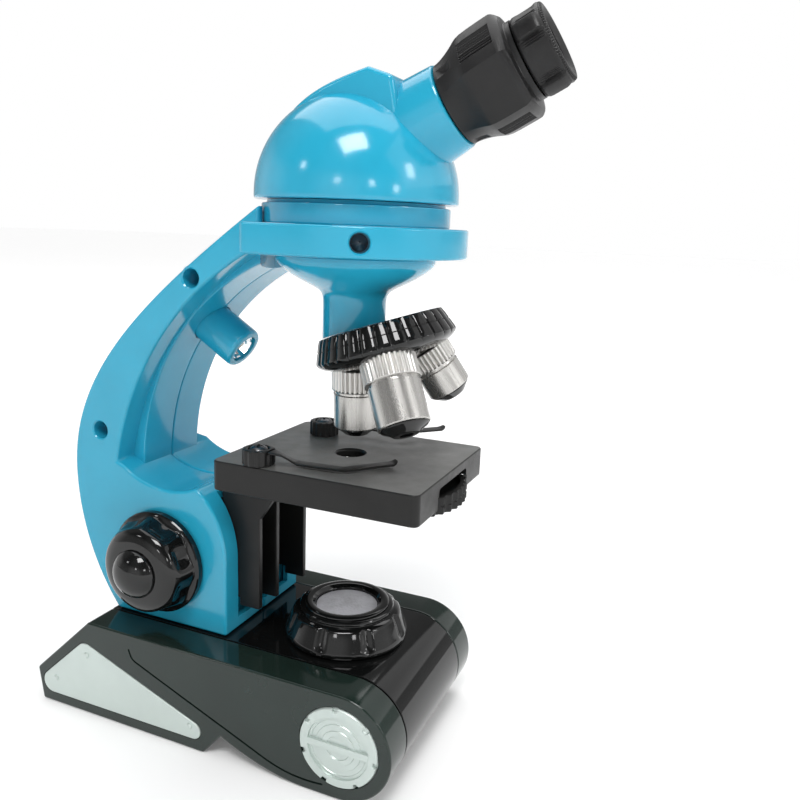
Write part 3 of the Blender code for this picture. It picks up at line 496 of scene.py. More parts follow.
TRIM = [(19.6, 8.3, 3.5), (90.3, 9.2, 4.7), (71.6, 26.6, 4.5)]
SWOOSH = (bezier((49.6, 34.4), (48.6, 32.0), (48.8, 31.0), (46.6, 29.8), 6)
          + bezier((46.6, 29.8), (20, 19.2), (2.0, 12.5), (-12, 6.9), 14)[1:]
          + bezier((-12, 6.9), (-20, 3.9), (-27, 3.0), (-36.5, 4.1), 10)[1:])
CAP_AT = (NOSE_Y - 0.2, 20.6)

for side, s in SIDES:
    cover = extrude("side_cover_%s_skin" % side, base_outline(), s * (SEAM + GAP / 2), s * BASE_HALF,
                    "X", COVER)
    bevel(cover, 0.8, 3, 30)
    recess = rounded_hull([(u, v, r + 0.35) for u, v, r in TRIM])
    cut(cover,
        extrude("c", base_outline(WALL, WALL, 12), s * (SEAM - 2), s * (BASE_HALF - WALL - 0.8), "X"),
        extrude("c", recess, s * (BASE_HALF - 0.9), s * (BASE_HALF + 2), "X"),
        extrude("c", ribbon(SWOOSH, 0.4), s * (BASE_HALF - 0.6), s * (BASE_HALF + 2), "X"),
        rod("c", 15.6, 0, 6, (s * (BASE_HALF - 1.1), *CAP_AT), (s, 0, 0), count=96))
    show(cover, "base", "gloss_black_plastic", "side_cover_" + side)

    trim = bevel(extrude("trim_plate_%s_skin" % side, rounded_hull(TRIM), s * (BASE_HALF - 0.6),
                         s * (BASE_HALF + 0.3), "X", SILVER), 0.3, 3, 50)
    fuse(trim, *[skin("c", [(0, 0.9), (0.8, 0.75), (1.25, 0.3), (1.3, 0), (1.3, -0.5), (0, -0.5)], 24,
                      (s * (BASE_HALF + 0.2), y, z), (s, 0, 0))
                 for y, z in ((20.9, 10.0), (88.0, 11.7), (71.0, 26.3))])
    show(trim, "base", "silver_plastic", "trim_plate_" + side)

    # round cap: castellated outer ring, stepped middle and a coin bar
    def teeth(r, h, tag, a):
        notch = abs(((math.degrees(a) - 18 + 180 / 7) % (360 / 7)) - 180 / 7) < 4.2
        return r - tag if notch else r
    at = (s * (BASE_HALF - 0.8), *CAP_AT)
    cap = skin("disc_cap_%s_skin" % side,
               [(0, 0.75), (4.4, 0.75), (4.6, 1.05), (6.4, 1.05), (6.6, 0.75), (8.7, 0.75), (8.9, 0.5),
                (10.6, 0.5), (10.8, 0.75), (11.7, 0.75), (11.9, 1.5, 0.0), (14.5, 1.5, 1.3),
                (14.9, 1.4, 1.3), (15.2, 1.0, 1.3), (15.3, 0.6, 1.3), (15.3, 0), (0, 0)],
               420, at, (s, 0, 0), SILVER, teeth)
    bar_y = CAP_AT[0]
    bar = bevel(extrude("c", rounded_rect(bar_y - 11.9, bar_y + 11.9, 19.3, 21.9, 0.6), s * (BASE_HALF - 0.5),
                        s * (BASE_HALF + 0.95), "X"), 0.3, 2, 50)
    fuse(cap, bar)
    show(cap, "base", "silver_plastic", "disc_cap_" + side, angle=28)


# ---- lamp --------------------------------------------------------------
SCOOP_TURN, SCOOP_REACH = 1.8, 7.5


def scoops(r, h, tag, a):
    """Eight narrow scoops run down the skirt and end in a round heel."""
    off = (math.degrees(a) - SCOOP_TURN + 22.5) % 45 - 22.5
    return r - tag * math.cos(off / SCOOP_REACH * math.pi / 2) ** 2 if abs(off) < SCOOP_REACH else r


LAMP_TOP = top("lamp_bezel")
LAMP_R = 16.7
skirt = [(23.4, BASE_TOP + GAP, 0), (24.0, 41.4, 0), (24.25, 42.2, 0), (24.2, 42.9, 0.15), (24.05, 43.5, 0.4),
         (23.8, 44.1, 0.8), (23.4, 45.0, 1.1), (22.8, 46.6, 1.2), (22.0, 48.6, 1.2), (21.25, 50.2, 1.2),
         (21.0, 50.6, 1.1), (20.6, 50.9, 0.8), (20.0, 51.15, 0.6), (19.2, 51.35, 0.1), (18.5, 51.5, 0)]
collar_ring = [(18.45, 51.7), (18.55, 52.1), (18.5, 52.6), (18.2, 53.0), (17.4, 53.3), (15.3, 53.3)]
well = [(15.3, 50.2), (12.9, 50.2), (12.9, 47.6), (17.0, 46.6), (21.0, BASE_TOP + GAP)]
housing = skin("lamp_housing_skin", skirt + collar_ring + well, 400, AXIS, mat=BLACK, radius=scoops)
show(housing, "lamp_head", "gloss_black_plastic", "lamp_housing", angle=30)
bezel = skin("lamp_bezel_skin",
             [(LAMP_R - 1.2, LAMP_TOP), (LAMP_R - 0.5, LAMP_TOP - 0.12), (LAMP_R - 0.1, LAMP_TOP - 0.45),
              (LAMP_R, LAMP_TOP - 0.8), (LAMP_R, 53.6), (15.0, 53.6), (15.0, 50.5), (12.3, 50.5),
              (12.3, 52.6), (12.5, 53.0), (13.5, LAMP_TOP - 0.2), (14.2, LAMP_TOP)],
             128, AXIS, mat=BLACK)
show(bezel, "lamp_head", "gloss_black_plastic", "lamp_bezel")
prisms = [(12.0 * i / 12, 52.7 - 0.6 * (i / 12) ** 2 + (0.10 if i % 2 else 0)) for i in range(1, 13)]
lens = skin("lamp_lens_skin", [(0, 52.7)] + prisms + [(12.0, 47.9), (0, 47.9)], 96, AXIS, mat=FROST)
show(lens, "lamp_head", "frosted_lens", "lamp_lens", angle=60)

# ---- arm ---------------------------------------------------------------
ARM_HALF = 26.8
BOW_Y, BOW_Z = -53.1, 81.5
BOW_R = {"left": 121.0, "right": 125.5}
SPINE_HALF = 17.0
SPINE_Y, SPINE_Z, SPINE_R = -32.1, 99.25, 92.5
SLOT_HALF, SLOT_FLOOR = 18.5, 45.5


def arm_outline(bow_r, fine=1):
    """Side view of an arm half: foot, round heel, long back, inner bow and the ledge behind the stage."""
    front = STAGE_BACK - 0.3
    ledge_y, ledge_z = 63.9, 103.9
    out = [(front, BASE_TOP + GAP), (68.1, BASE_TOP + GAP)]
    out += arc(-8.3, 98.4, 95.6, math.degrees(math.asin((46.5 - 98.4) / 95.6)), 0, 6 * fine)
    out += bezier((87.3, 98.4), (87.3, 139.4), (48.0, 170.7), (COLLAR_BACK + GAP, 204.0), 12 * fine)[1:]
    a_top = math.degrees(math.acos((COLLAR_BACK + GAP - BOW_Y) / bow_r))
    a_low = math.degrees(math.asin((ledge_z - BOW_Z) / bow_r))
    out += arc(BOW_Y, BOW_Z, bow_r, a_top, a_low, 11 * fine)
    out += bezier((ledge_y, ledge_z), (54.0, 95.0), (38.0, 94.0), (28.2, 98.9), 6 * fine)[1:]
    out += bezier((28.2, 98.9), (21.0, 94.5), (front, 84.0), (front, 70.0), 6 * fine)[1:]
    return out


LAMP2_TILT = math.radians(32.0)
LAMP2_DIR = (0, -math.cos(LAMP2_TILT), -math.sin(LAMP2_TILT))
LAMP2_END = (0, 23.8, 149.2)
LAMP2_R = 8.4
SCREWS = ((28.6, 177.8), (73.6, 115.7))

for side, s in SIDES:
    half = extrude("arm_half_%s_skin" % side, arm_outline(BOW_R[side], 3), s * 0.1, s * ARM_HALF, "X", BLUE)
    bevel(half, 1.2, 4, 30)
    cut(half, extrude("c", inset(arm_outline(BOW_R[side]), WALL), -s * 1.0, s * (ARM_HALF - WALL), "X"),
        box("c", *sorted((-s * 1.0, s * SLOT_HALF)), 8, 24.5, SLOT_FLOOR, 110))
    a0 = math.degrees(math.asin((97.5 - SPINE_Z) / SPINE_R))
    a1 = math.degrees(math.acos((COLLAR_BACK + GAP - SPINE_Y) / SPINE_R))
    b0 = math.degrees(math.asin((97.5 - BOW_Z) / (BOW_R[side] + 1.0)))
    b1 = math.degrees(math.acos((COLLAR_BACK + GAP - BOW_Y) / (BOW_R[side] + 1.0)))
    crescent = arc(SPINE_Y, SPINE_Z, SPINE_R, a0, a1, 40) + arc(BOW_Y, BOW_Z, BOW_R[side] + 1.0, b1, b0, 16)
    spine = extrude("c", crescent, s * 0.1, s * SPINE_HALF, "X")
    bevel(spine, 0.7, 2, 50)
    fuse(half, spine)
    guide = box("c", *sorted((s * (SLOT_HALF + 0.2), s * (SLOT_HALF + 2.4))), 19.0, 27.0, 42.5, 82.0)
    boss = rod("c", 6.5, 12.0, ARM_HALF - 1.0, (0, FOCUS_Y, FOCUS_Z), (s, 0, 0))
    reach = ARM_HALF - 1.0 if s < 0 else SPINE_HALF - 1.0
    fuse(half, guide, boss, *[rod("c", 4.6, 0.4, reach, (0, y, z), (s, 0, 0)) for y, z in SCREWS])
    holes = []
    for y, z in SCREWS:
        if s < 0:
            counterbore = [(0, ARM_HALF + 2), (4.2, ARM_HALF + 2), (4.2, ARM_HALF + 0.2),
                           (3.5, ARM_HALF - 0.5), (3.5, 17.0), (0, 17.0)]
            holes += [skin("c", counterbore, 48, (0, y, z), (s, 0, 0)),
                      rod("c", 1.6, -1, 18, (0, y, z), (s, 0, 0))]
        else:
            holes.append(rod("c", 1.6, -1, 14.0, (0, y, z), (s, 0, 0)))
    cut(half, rod("c", 3.3, -2, ARM_HALF + 4, (0, FOCUS_Y, FOCUS_Z), (s, 0, 0)),
        rod("c", DISC_R + 0.5, 170.0, 210.0, AXIS, count=128),
        rod("c", LAMP2_R + GAP, -38.0, -4.0, LAMP2_END, LAMP2_DIR), *holes)
    show(half, "base", "blue_plastic", "arm_half_" + side)

barrel = skin("top_lamp_skin",
              [(6.9, 0), (7.7, -0.15), (8.2, -0.7), (LAMP2_R, -1.6), (LAMP2_R, -36.0), (5.0, -36.0),
               (5.0, -6.5), (5.6, -6.2), (5.8, 0)],
              64, LAMP2_END, LAMP2_DIR, BLUE)
show(barrel, "base", "blue_plastic", "top_lamp_housing")


# ---- focus knobs -------------------------------------------------------
def flutes(r, h, tag, a):
    """Eight round flutes."""
    return r - tag * (0.5 - 0.5 * math.cos(8 * a))


for side, s in SIDES:
    at, way = (0, FOCUS_Y, FOCUS_Z), (s, 0, 0)
    flange = [(20.0, 27.3), (20.4, 27.7), (20.5, 28.6), (20.45, 30.0), (20.1, 30.5, 0.1), (19.3, 30.9, 0.7)]
    grip = spline([(19.0, 31.4, 1.0), (18.5, 33.4, 1.4), (17.9, 35.6, 1.5), (17.5, 37.0, 1.0),
                   (17.1, 38.0, 0.3), (16.4, 39.4, 0), (15.0, 40.7, 0), (12.6, 41.7, 0), (10.2, 42.1, 0)], 4)
    hub = [(9.2, 42.15), (3.3, 42.15), (3.3, 31.0), (5.2, 31.0), (5.2, 27.2), (6.2, 27.2), (6.2, 29.6),
           (16.5, 29.6), (16.5, 27.3)]
    knob = skin("focus_knob_%s_skin" % side, flange + grip + hub, 192, at, way, BLACK, flutes)
    show(knob, "focus_drive", "gloss_black_plastic", "focus_knob_" + side, angle=30)
    button = [(0, 47.9), (1.5, 47.8)]
    button += spline([(2.8, 47.6), (4.8, 47.0), (6.8, 45.9), (8.4, 44.4), (9.3, 43.2)], 3)
    button += [(9.5, 42.7), (9.4, 42.3), (0, 42.3)]
    cap = skin("knob_cap_%s_skin" % side, button, 96, at, way, BLACK)
    show(cap, "focus_drive", "gloss_black_plastic", "knob_cap_" + side, angle=40)

# ---- stage -------------------------------------------------------------
# Bracket seen from above: two flanges, a web and an off-centre rib.
FLANGE_X, FLANGE, WEB_Y, LEG_Y = 18.0, 2.4, 22.2, 5.4
inner_x, inner_y = FLANGE_X - FLANGE, WEB_Y - FLANGE
channel = [(-FLANGE_X, LEG_Y), (-inner_x, LEG_Y), (-inner_x, inner_y), (-5.6, inner_y), (-5.6, LEG_Y),
           (-3.4, LEG_Y), (-3.4, inner_y), (inner_x, inner_y), (inner_x, LEG_Y), (FLANGE_X, LEG_Y),
           (FLANGE_X, WEB_Y), (-FLANGE_X, WEB_Y)]
bracket = bevel(extrude("stage_bracket_skin", channel, 50.5, STAGE_BOTTOM - GAP, "Z", SATIN), 0.4, 3, 50)
gusset = [(5.9, 87.0), (5.9, STAGE_BOTTOM - GAP), (-5.0, STAGE_BOTTOM - GAP)]
fuse(bracket, *[extrude("c", gusset, x + 0.02, x + 2.38, "X") for x in (-18.0, 15.6)])
cut(bracket, box("c", -30, 30, STAGE_BACK - 0.9, 30, 40, 54.0))
show(bracket, "stage", "satin_black_plastic", "stage_bracket")

stage_outline = rounded_rect(-STAGE_HALF, STAGE_HALF, STAGE_FRONT, STAGE_BACK, 2.6)
plate = bevel(extrude("stage_plate_skin", stage_outline, STAGE_BOTTOM, STAGE_TOP, "Z", SATIN), 0.6, 4, 50)
window = [(-14.6, 100), (14.6, 100), (14.6, 109.4)]
window += arc(13.1, 109.4, 1.5, 0, 90, 5) + arc(-13.1, 109.4, 1.5, 90, 180, 5)
light_hole = [(0, 118), (6.1, 118), (6.1, STAGE_TOP), (5.6, STAGE_TOP - 0.4), (5.4, STAGE_TOP - 1.0),
              (5.4, 100), (0, 100)]
POSTS = {"left": (-29.4, -1.9, 0.0), "right": (18.5, -2.2, -3.0)}
# across (as a share of the half width) and up
LEAF_SECTION = ((1, 0.12), (0.93, 0), (-0.93, 0), (-1, 0.12), (-1, 0.55), (-0.8, 0.8), (0.8, 0.8), (1, 0.55))
cut(plate,
    box("c", -STAGE_HALF + 2.2, STAGE_HALF - 2.2, STAGE_FRONT + 2.6, -8.0, 100, STAGE_TOP - 3.2),
    rod("c", WHEEL_R + 0.5, 95.0, 108.0, (0, WHEEL_Y, 0), count=96),
    extrude("c", window, STAGE_FRONT - 2, STAGE_FRONT + 5, "Y"),
    skin("c", light_hole, 64, AXIS),
    rod("c", 1.6, 100, STAGE_TOP - 1.2, (0, WHEEL_Y, 0)),
    *[rod("c", 1.5, 106.0, 120, (x, y, 0)) for x, y, _ in POSTS.values()])
show(plate, "stage", "satin_black_plastic", "stage_plate")
# the up-facing top of the stage gets a much lighter grey: a painted reflection of the bright surroundings seen at
# a grazing angle
plate.data.materials.append(STAGE_TOP_PAINTED_SHEEN)
for face in plate.data.polygons:
    if face.normal.z > 0.9 and face.center.z > (STAGE_TOP - 0.5) / 1000:
        face.material_index = 1


def ribs(r, h, tag, a):
    """Forty-four finger ribs."""
    return r - tag * 1.5 * (0.5 - 0.5 * math.cos(44 * a)) ** 0.7


wheel = skin("diaphragm_wheel_skin",
             [(WHEEL_R - 0.3, 101.1, 0.7), (WHEEL_R, 101.5, 0.8), (WHEEL_R, 103.8, 0.8),
              (WHEEL_R - 0.5, 104.0, 0.5), (WHEEL_R - 0.5, 104.4, 0.5), (WHEEL_R, 104.6, 0.8),
              (WHEEL_R, 106.9, 0.8), (WHEEL_R - 0.3, 107.3, 0.7), (WHEEL_R - 2.6, 107.3),
              (WHEEL_R - 2.6, 105.4), (2.6, 105.4), (2.6, 103.4), (WHEEL_R - 2.6, 103.4),
              (WHEEL_R - 2.6, 101.1)],
             576, (0, WHEEL_Y, 0), mat=SATIN, radius=ribs)
cut(wheel, *[rod("c", r, 100, 110, (15.8 * math.cos(math.radians(90 + 60 * i)),
                                     WHEEL_Y + 15.8 * math.sin(math.radians(90 + 60 * i)), 0))
             for i, r in enumerate((5.0, 4.0, 3.0, 2.2, 1.4, 5.0))])
show(wheel, "wheel", "satin_black_plastic", "diaphragm_wheel", angle=50)


def grip_ribs(r, h, tag, a):
    """Fourteen ribs round a clip's button."""
    return r - tag * (0.5 - 0.5 * math.cos(14 * a))


for side, (x, y, turn) in POSTS.items():
    lift = 0.0 if side == "left" else 0.6
    z0 = STAGE_TOP + GAP
    place = Matrix.Translation(Vector((x, y, 0)) * MM) @ Matrix.Rotation(math.radians(turn), 4, "Z")
    post = skin("clip_post_%s_skin" % side,
                [(5.2, z0 + 5.6), (5.7, z0 + 5.4, 0.3), (5.9, z0 + 5.0, 0.45), (5.9, z0 + 0.3, 0.45),
                 (5.7, z0), (2.1, z0), (2.1, z0 + 3.4), (3.8, z0 + 3.4), (3.8, z0 + 5.3), (4.1, z0 + 5.6)],
                112, (x, y, 0), mat=SATIN, radius=grip_ribs)
    cut(post, box("c", -2.7, 2.7, -8.0, -4.9, z0 + 4.1, z0 + 6.3, None, place))
    show(post, "clip_" + side, "satin_black_plastic", "clip_post_" + side, angle=40)
    screw = skin("clip_screw_%s_skin" % side,
                 [(0, z0 + 6.6), (1.2, z0 + 6.5), (2.3, z0 + 6.15), (3.1, z0 + 5.5), (3.5, z0 + 4.8),
                  (3.5, z0 + 3.8), (2.04, z0 + 3.8), (2.04, z0 - 0.15), (1.3, z0 - 0.15), (1.3, 107.0),
                  (0, 107.0)],
                 64, (x, y, 0), mat=DARK_STEEL)
    for k in (20, 110):
        cross = Matrix.Translation(Vector((x, y, 0)) * MM) @ Matrix.Rotation(math.radians(k), 4, "Z")
        cut(screw, box("c", -0.42, 0.42, -1.9, 1.9, z0 + 5.2, z0 + 9, None, cross))
    show(screw, "stage", "steel", "clip_screw_" + side)
    # sprung leaf, stepped down to the stage, with its end turned in
    high, low = 4.4, 0.5 + lift * 5
    run = [(0.0, -5.2, high), (0.0, -6.8, high), (1.0, -8.4, high - 0.6 + lift), (2.4, -10.2, 2.5 + lift * 3),
           (3.5, -12.2, low + 0.7), (4.3, -14.0, low), (5.4, -29.0, low), (5.9, -30.9, low),
           (7.2, -32.2, low), (20.2, -42.6, low), (21.1, -43.4, low + 0.35), (21.7, -43.9, low + 0.9)]
    bm = bmesh.new()
    rows = []
    for i, p in enumerate(run):
        a = Vector(run[max(0, i - 1)][:2])
        b = Vector(run[min(len(run) - 1, i + 1)][:2])
        d = (b - a).normalized()
        hw = 2.3 if i < len(run) - 2 else (1.9 if i == len(run) - 2 else 1.2)
        nx, ny = -d.y * hw, d.x * hw
        rows.append([bm.verts.new(Vector((p[0] + k * nx, p[1] + k * ny, z0 + p[2] + dz)) * MM)
                     for k, dz in LEAF_SECTION])
    for ra, rb in zip(rows, rows[1:]):
        for k in range(len(LEAF_SECTION)):
            after = (k + 1) % len(LEAF_SECTION)
            bm.faces.new((ra[k], ra[after], rb[after], rb[k]))
    bm.faces.new(rows[0])
    bm.faces.new(rows[-1])
    leaf = link("clip_leaf_%s_skin" % side, bm, SATIN, place)
    show(leaf, "clip_" + side, "satin_black_plastic", "clip_leaf_" + side, angle=40)

# ---- collar, neck and head ---------------------------------------------
d_plate = (arc(0, AXIS_Y, COLLAR_R, 180, 360, 72) + arc(COLLAR_R - 2.5, COLLAR_BACK - 2.5, 2.5, 0, 90, 8)
           + arc(-COLLAR_R + 2.5, COLLAR_BACK - 2.5, 2.5, 90, 180, 8))
collar = bevel(extrude("collar_plate_skin", d_plate, COLLAR_BOTTOM, COLLAR_TOP, "Z", BLUE), 0.9, 4, 50)
holes = [rod("c", 24.3, 180, 210, AXIS, count=96)]
SCREW_AT, SCREW_TURN = (0, AXIS_Y, 193.0), math.radians(28)
countersink = [(0, 46), (3.9, 46), (3.9, 40.0), (3.3, 39.3), (3.3, 34.0), (0, 34.0)]
for side, s in SIDES:
    way = (s * math.cos(SCREW_TURN), -math.sin(SCREW_TURN), 0)
    holes += [skin("c", countersink, 48, SCREW_AT, way), rod("c", 1.7, 20.0, 36.0, SCREW_AT, way)]
cut(collar, *holes)
show(collar, "base", "blue_plastic", "collar_plate")
disc = skin("turntable_disc_skin",
            [(31.6, DISC_TOP), (DISC_R - 0.6, DISC_TOP), (DISC_R - 0.15, DISC_TOP - 0.2),
             (DISC_R, DISC_TOP - 0.7), (DISC_R, COLLAR_TOP + GAP + 0.3), (DISC_R - 0.3, COLLAR_TOP + 0.03),
             (24.2, COLLAR_TOP + 0.03), (24.2, COLLAR_TOP + GAP), (22.0, COLLAR_TOP + GAP),
             (22.0, DISC_TOP + 1.0), (31.4, DISC_TOP + 1.0)],
            160, AXIS, mat=BLUE)
show(disc, "base", "blue_plastic", "turntable_disc")
bell_rim = [(24.0, COLLAR_TOP - 0.1), (24.0, COLLAR_BOTTOM - GAP), (28.4, COLLAR_BOTTOM - GAP),
            (28.8, COLLAR_BOTTOM - 0.7)]
bell_run = spline([(28.8, 186.2), (27.9, 184.5), (25.2, 182.2), (21.6, 179.9), (17.2, 177.6), (13.8, 175.8),
                   (12.1, 174.2), (11.6, 172.4), (11.5, 170.0)], 4)
bell_bore = [(11.5, 150.0), (8.6, 150.0), (8.6, 172.6), (21.4, 184.0), (21.4, COLLAR_TOP - 0.1)]
bell = skin("bell_neck_skin", bell_rim + bell_run + bell_bore, 128, AXIS, mat=BLUE)
below_neck = axis_matrix(TURRET_C, TURRET_N)
cut(bell, box("c", -40, 40, -60, 60, -80, 5.0 + GAP - 0.2, None, below_neck))
show(bell, "base", "blue_plastic", "bell_neck")

DOME_R, DOME_Z, DOME_FLOOR = 36.0, 207.9, 206.2
TUBE_BORE = 12.12


def cap_run(r, step):
    """Profile of a ball on the dome's centre, from its pole down to just above its middle."""
    turns = [math.radians(90 - step * i) for i in range(1, 90 // step)]
    return [(0, DOME_Z + r)] + [(r * math.cos(t), DOME_Z + r * math.sin(t)) for t in turns]


dome_foot = [(DOME_R, DOME_Z), (DOME_R, DOME_FLOOR + 0.8), (DOME_R - 0.2, DOME_FLOOR + 0.25),
             (DOME_R - 0.7, DOME_FLOOR), (0, DOME_FLOOR)]
dome = skin("head_dome_skin", cap_run(DOME_R, 3) + dome_foot, 160, AXIS, mat=BLUE)
hood_outline = [(-46.0, 229.0), (-33.7, 216.0), (-10.0, 216.0), (-6.0, 233.5)]
hood_outline += bezier((-5.2, 235.2), (-12.0, 241.4), (-20.0, 244.8), (-33.7, 248.5), 16)
hood_outline.append((-42.5, 245.6))
hood = bevel(extrude("c", hood_outline, -15.5, 15.5, "X"), 1.6, 4, 50)
tube_run = [(0, 0), (13.7, 0), (14.2, -0.2), (14.5, -0.7), (14.8, -3.5), (15.1, -7.0), (15.8, -14.0),
            (16.6, -22.0), (17.0, -33.0), (0, -33.0)]
fuse(dome, hood, skin("c", tube_run, 96, EYE_O, EYE_DIR))
hollow = cap_run(DOME_R - WALL, 9) + [(DOME_R - WALL, DOME_FLOOR + 2.2), (0, DOME_FLOOR + 2.2)]
cut(dome, skin("c", hollow, 48, AXIS), rod("c", TUBE_BORE, -37, 5, EYE_O, EYE_DIR, count=64),
    rod("c", 18.0, 200, 212, AXIS, count=64))
spigot = [(21.9, DOME_FLOOR + 1.0), (21.9, 199.6), (18.4, 199.6), (18.4, DOME_FLOOR + 1.0)]
fuse(dome, skin("c", spigot, 96, AXIS))
show(dome, "head", "blue_plastic", "head_dome", angle=24)


# ---- eyepiece ----------------------------------------------------------
WINDOW_TURN = 146.0
CORNER_RISE = 1 / math.cos(math.radians(30)) - 1


def pads(r, h, tag, a):
    """Six flats. Every second one has a sunk window of fine ribs with a dimple before it."""
    flat = (math.degrees(a) - WINDOW_TURN + 30) % 60 - 30
    r -= tag * 1.53 * (1 - (1 / math.cos(math.radians(flat)) - 1) / CORNER_RISE)
    off = (math.degrees(a) - WINDOW_TURN + 60) % 120 - 60
    if 10.6 < h < 21.9 and abs(off) < 15.2:
        r -= 0.85 - 0.75 * (0.5 + 0.5 * math.cos(2 * math.pi * off / 3.8)) ** 0.8
    if 1.5 < h < 6.6 and abs(off) < 8:
        r -= 1.1 * math.cos(off / 8 * math.pi / 2) ** 0.5 * math.sin((h - 1.5) / 5.1 * math.pi) ** 0.5
    return r


body = [(12.03, -16.0), (12.03, GAP), (13.5, GAP), (13.9, 0.6)]
body += spline([(13.95, 1.2, 0.1), (14.3, 3.0, 0.2), (15.0, 5.2, 0.4), (15.9, 7.4, 0.6), (16.9, 9.4, 0.8)], 4)
body += [(17.35, 10.5, 0.85), (17.4, 10.7, 0.85), (17.7, 12.2, 0.9), (17.85, 15.0, 0.95), (17.9, 18.5, 1.0),
         (17.9, 21.8, 1.0), (17.9, 22.0, 1.0), (17.85, 22.8, 1.0), (17.5, 23.5, 0.9), (16.7, 24.4, 0.6),
         (15.9, 24.9, 0.3), (13.2, 25.4)]
body += [(13.0, 25.6), (13.0, 27.2), (10.0, 27.2), (10.0, 33.0), (8.6, 33.0), (8.6, -16.0)]
eyepiece = skin("eyepiece_body_skin", body, 720, EYE_O, EYE_DIR, CHARCOAL, pads)
show(eyepiece, "eyepiece", "charcoal_plastic", "eyepiece_body", angle=32, weighted=False)

# A ring tagged SERRATED takes the fine teeth of the lip; any other tag is how deep the hollows are there.
SERRATED = 6
BAR_TURN = 160.0


def lobes(r, h, tag, a):
    """Four proud bars with hollow sides between them, ribbed beside each bar, and a fine serrated lip."""
    off = (math.degrees(a) - BAR_TURN + 45) % 90 - 45
    if tag == SERRATED:
        return r - 0.30 * (0.5 - 0.5 * math.cos(90 * a))
    sink = min(1.0, max(0.0, (abs(off) - 10.5) / 4.0))
    r -= tag * sink * sink * (3 - 2 * sink)
    if 13.5 < abs(off) < 25 and tag > 1.5:
        r += 0.34 * (0.5 + 0.5 * math.cos(2 * math.pi * off / 3.3))
    return r


cup_run = [(12.3, 27.5, 0), (13.0, 27.7, 0.3), (14.0, 28.3, 1.0), (14.5, 29.2, 1.5), (14.6, 29.9, 1.7),
           (14.65, 30.2, 1.8), (14.7, 33.0, 1.9), (14.7, 34.7, 1.9), (14.6, 35.3, 1.7), (14.3, 36.0, 1.2),
           (13.7, 36.6, 0.6), (13.1, 36.9, 0.2), (12.9, 37.0, SERRATED), (12.8, 37.4, SERRATED),
           (12.6, 37.7, SERRATED), (12.2, 37.9, SERRATED), (11.7, 38.0, 0), (11.1, 37.8, 0), (9.4, 36.4, 0),
           (9.4, 33.3, 0), (10.3, 33.3, 0), (10.3, 27.5, 0)]
cup = skin("eye_cup_skin", cup_run, 768, EYE_O, EYE_DIR, CHARCOAL, lobes)
show(cup, "eye_ring", "charcoal_plastic", "eye_cup", angle=40, weighted=False)
eye_lens = skin("eye_lens_skin",
                [(0, 36.3), (2.5, 36.25), (5.0, 36.0), (7.3, 35.5), (9.1, 34.9), (9.1, 33.6), (0, 33.6)],
                64, EYE_O, EYE_DIR, LENS)
show(eye_lens, "eye_ring", "glass", "eye_lens", angle=50)

# ---- turret ------------------------------------------------------------
TILT = math.atan2(TURRET_N.y, TURRET_N.z)
TURRET_H = 9.15


def crown(r, h, tag, a):
    """Thirty broad ribs with narrow valleys round the rim."""
    return r - tag * (1 - abs(math.cos(15 * a)) ** 0.45)


def flank(*heights):
    """The cone of the rim, which widens downwards."""
    return [(23.05 + 3.15 * (4.5 - h) / 8.2, h, 0.65) for h in heights]


rim = [(22.5, 4.57, 0.2), (22.9, 4.4, 0.5), (23.2, 3.8, 1.0)] + flank(2.6, 1.4, 0.5)
rim += [(24.4, 0.4, 1.0), (24.45, 0.2, 1.0)] + flank(0.1, -1.2, -2.4, -3.2)
rim += [(26.1, -3.9, 0.5), (25.7, -4.7, 0.2), (24.9, -5.5, 0), (23.6, -6.4, 0), (21.6, -7.3, 0),
        (19.5, -8.0, 0), (17.5, -8.4, 0), (15.5, -8.7, 0), (7.0, -8.7, 0), (7.0, -4.57, 0), (2.56, -4.57, 0),
        (2.56, 1.3, 0), (20.9, 1.3, 0), (20.9, 4.57, 0)]
turret = skin("turret_disc_skin", rim, 480, TURRET_C, TURRET_N, BLACK, crown)

# Turn from the back of the disc in degrees, length and radius of each barrel.
OBJECTIVES = {"low": (8.0, 26.6, 8.5), "high": (-112.0, 28.2, 9.2), "mid": (128.0, 21.8, 8.3)}
RING_TOP = 3.6
OBJ_RING = 13.9
BACK_WAY = Vector((0, math.cos(TILT), -math.sin(TILT)))


def knurl(r, h, tag, a):
    """Thirty-two flat ribs with narrow grooves."""
    return r - tag * (0.5 - 0.5 * math.cos(32 * a)) ** 2.2


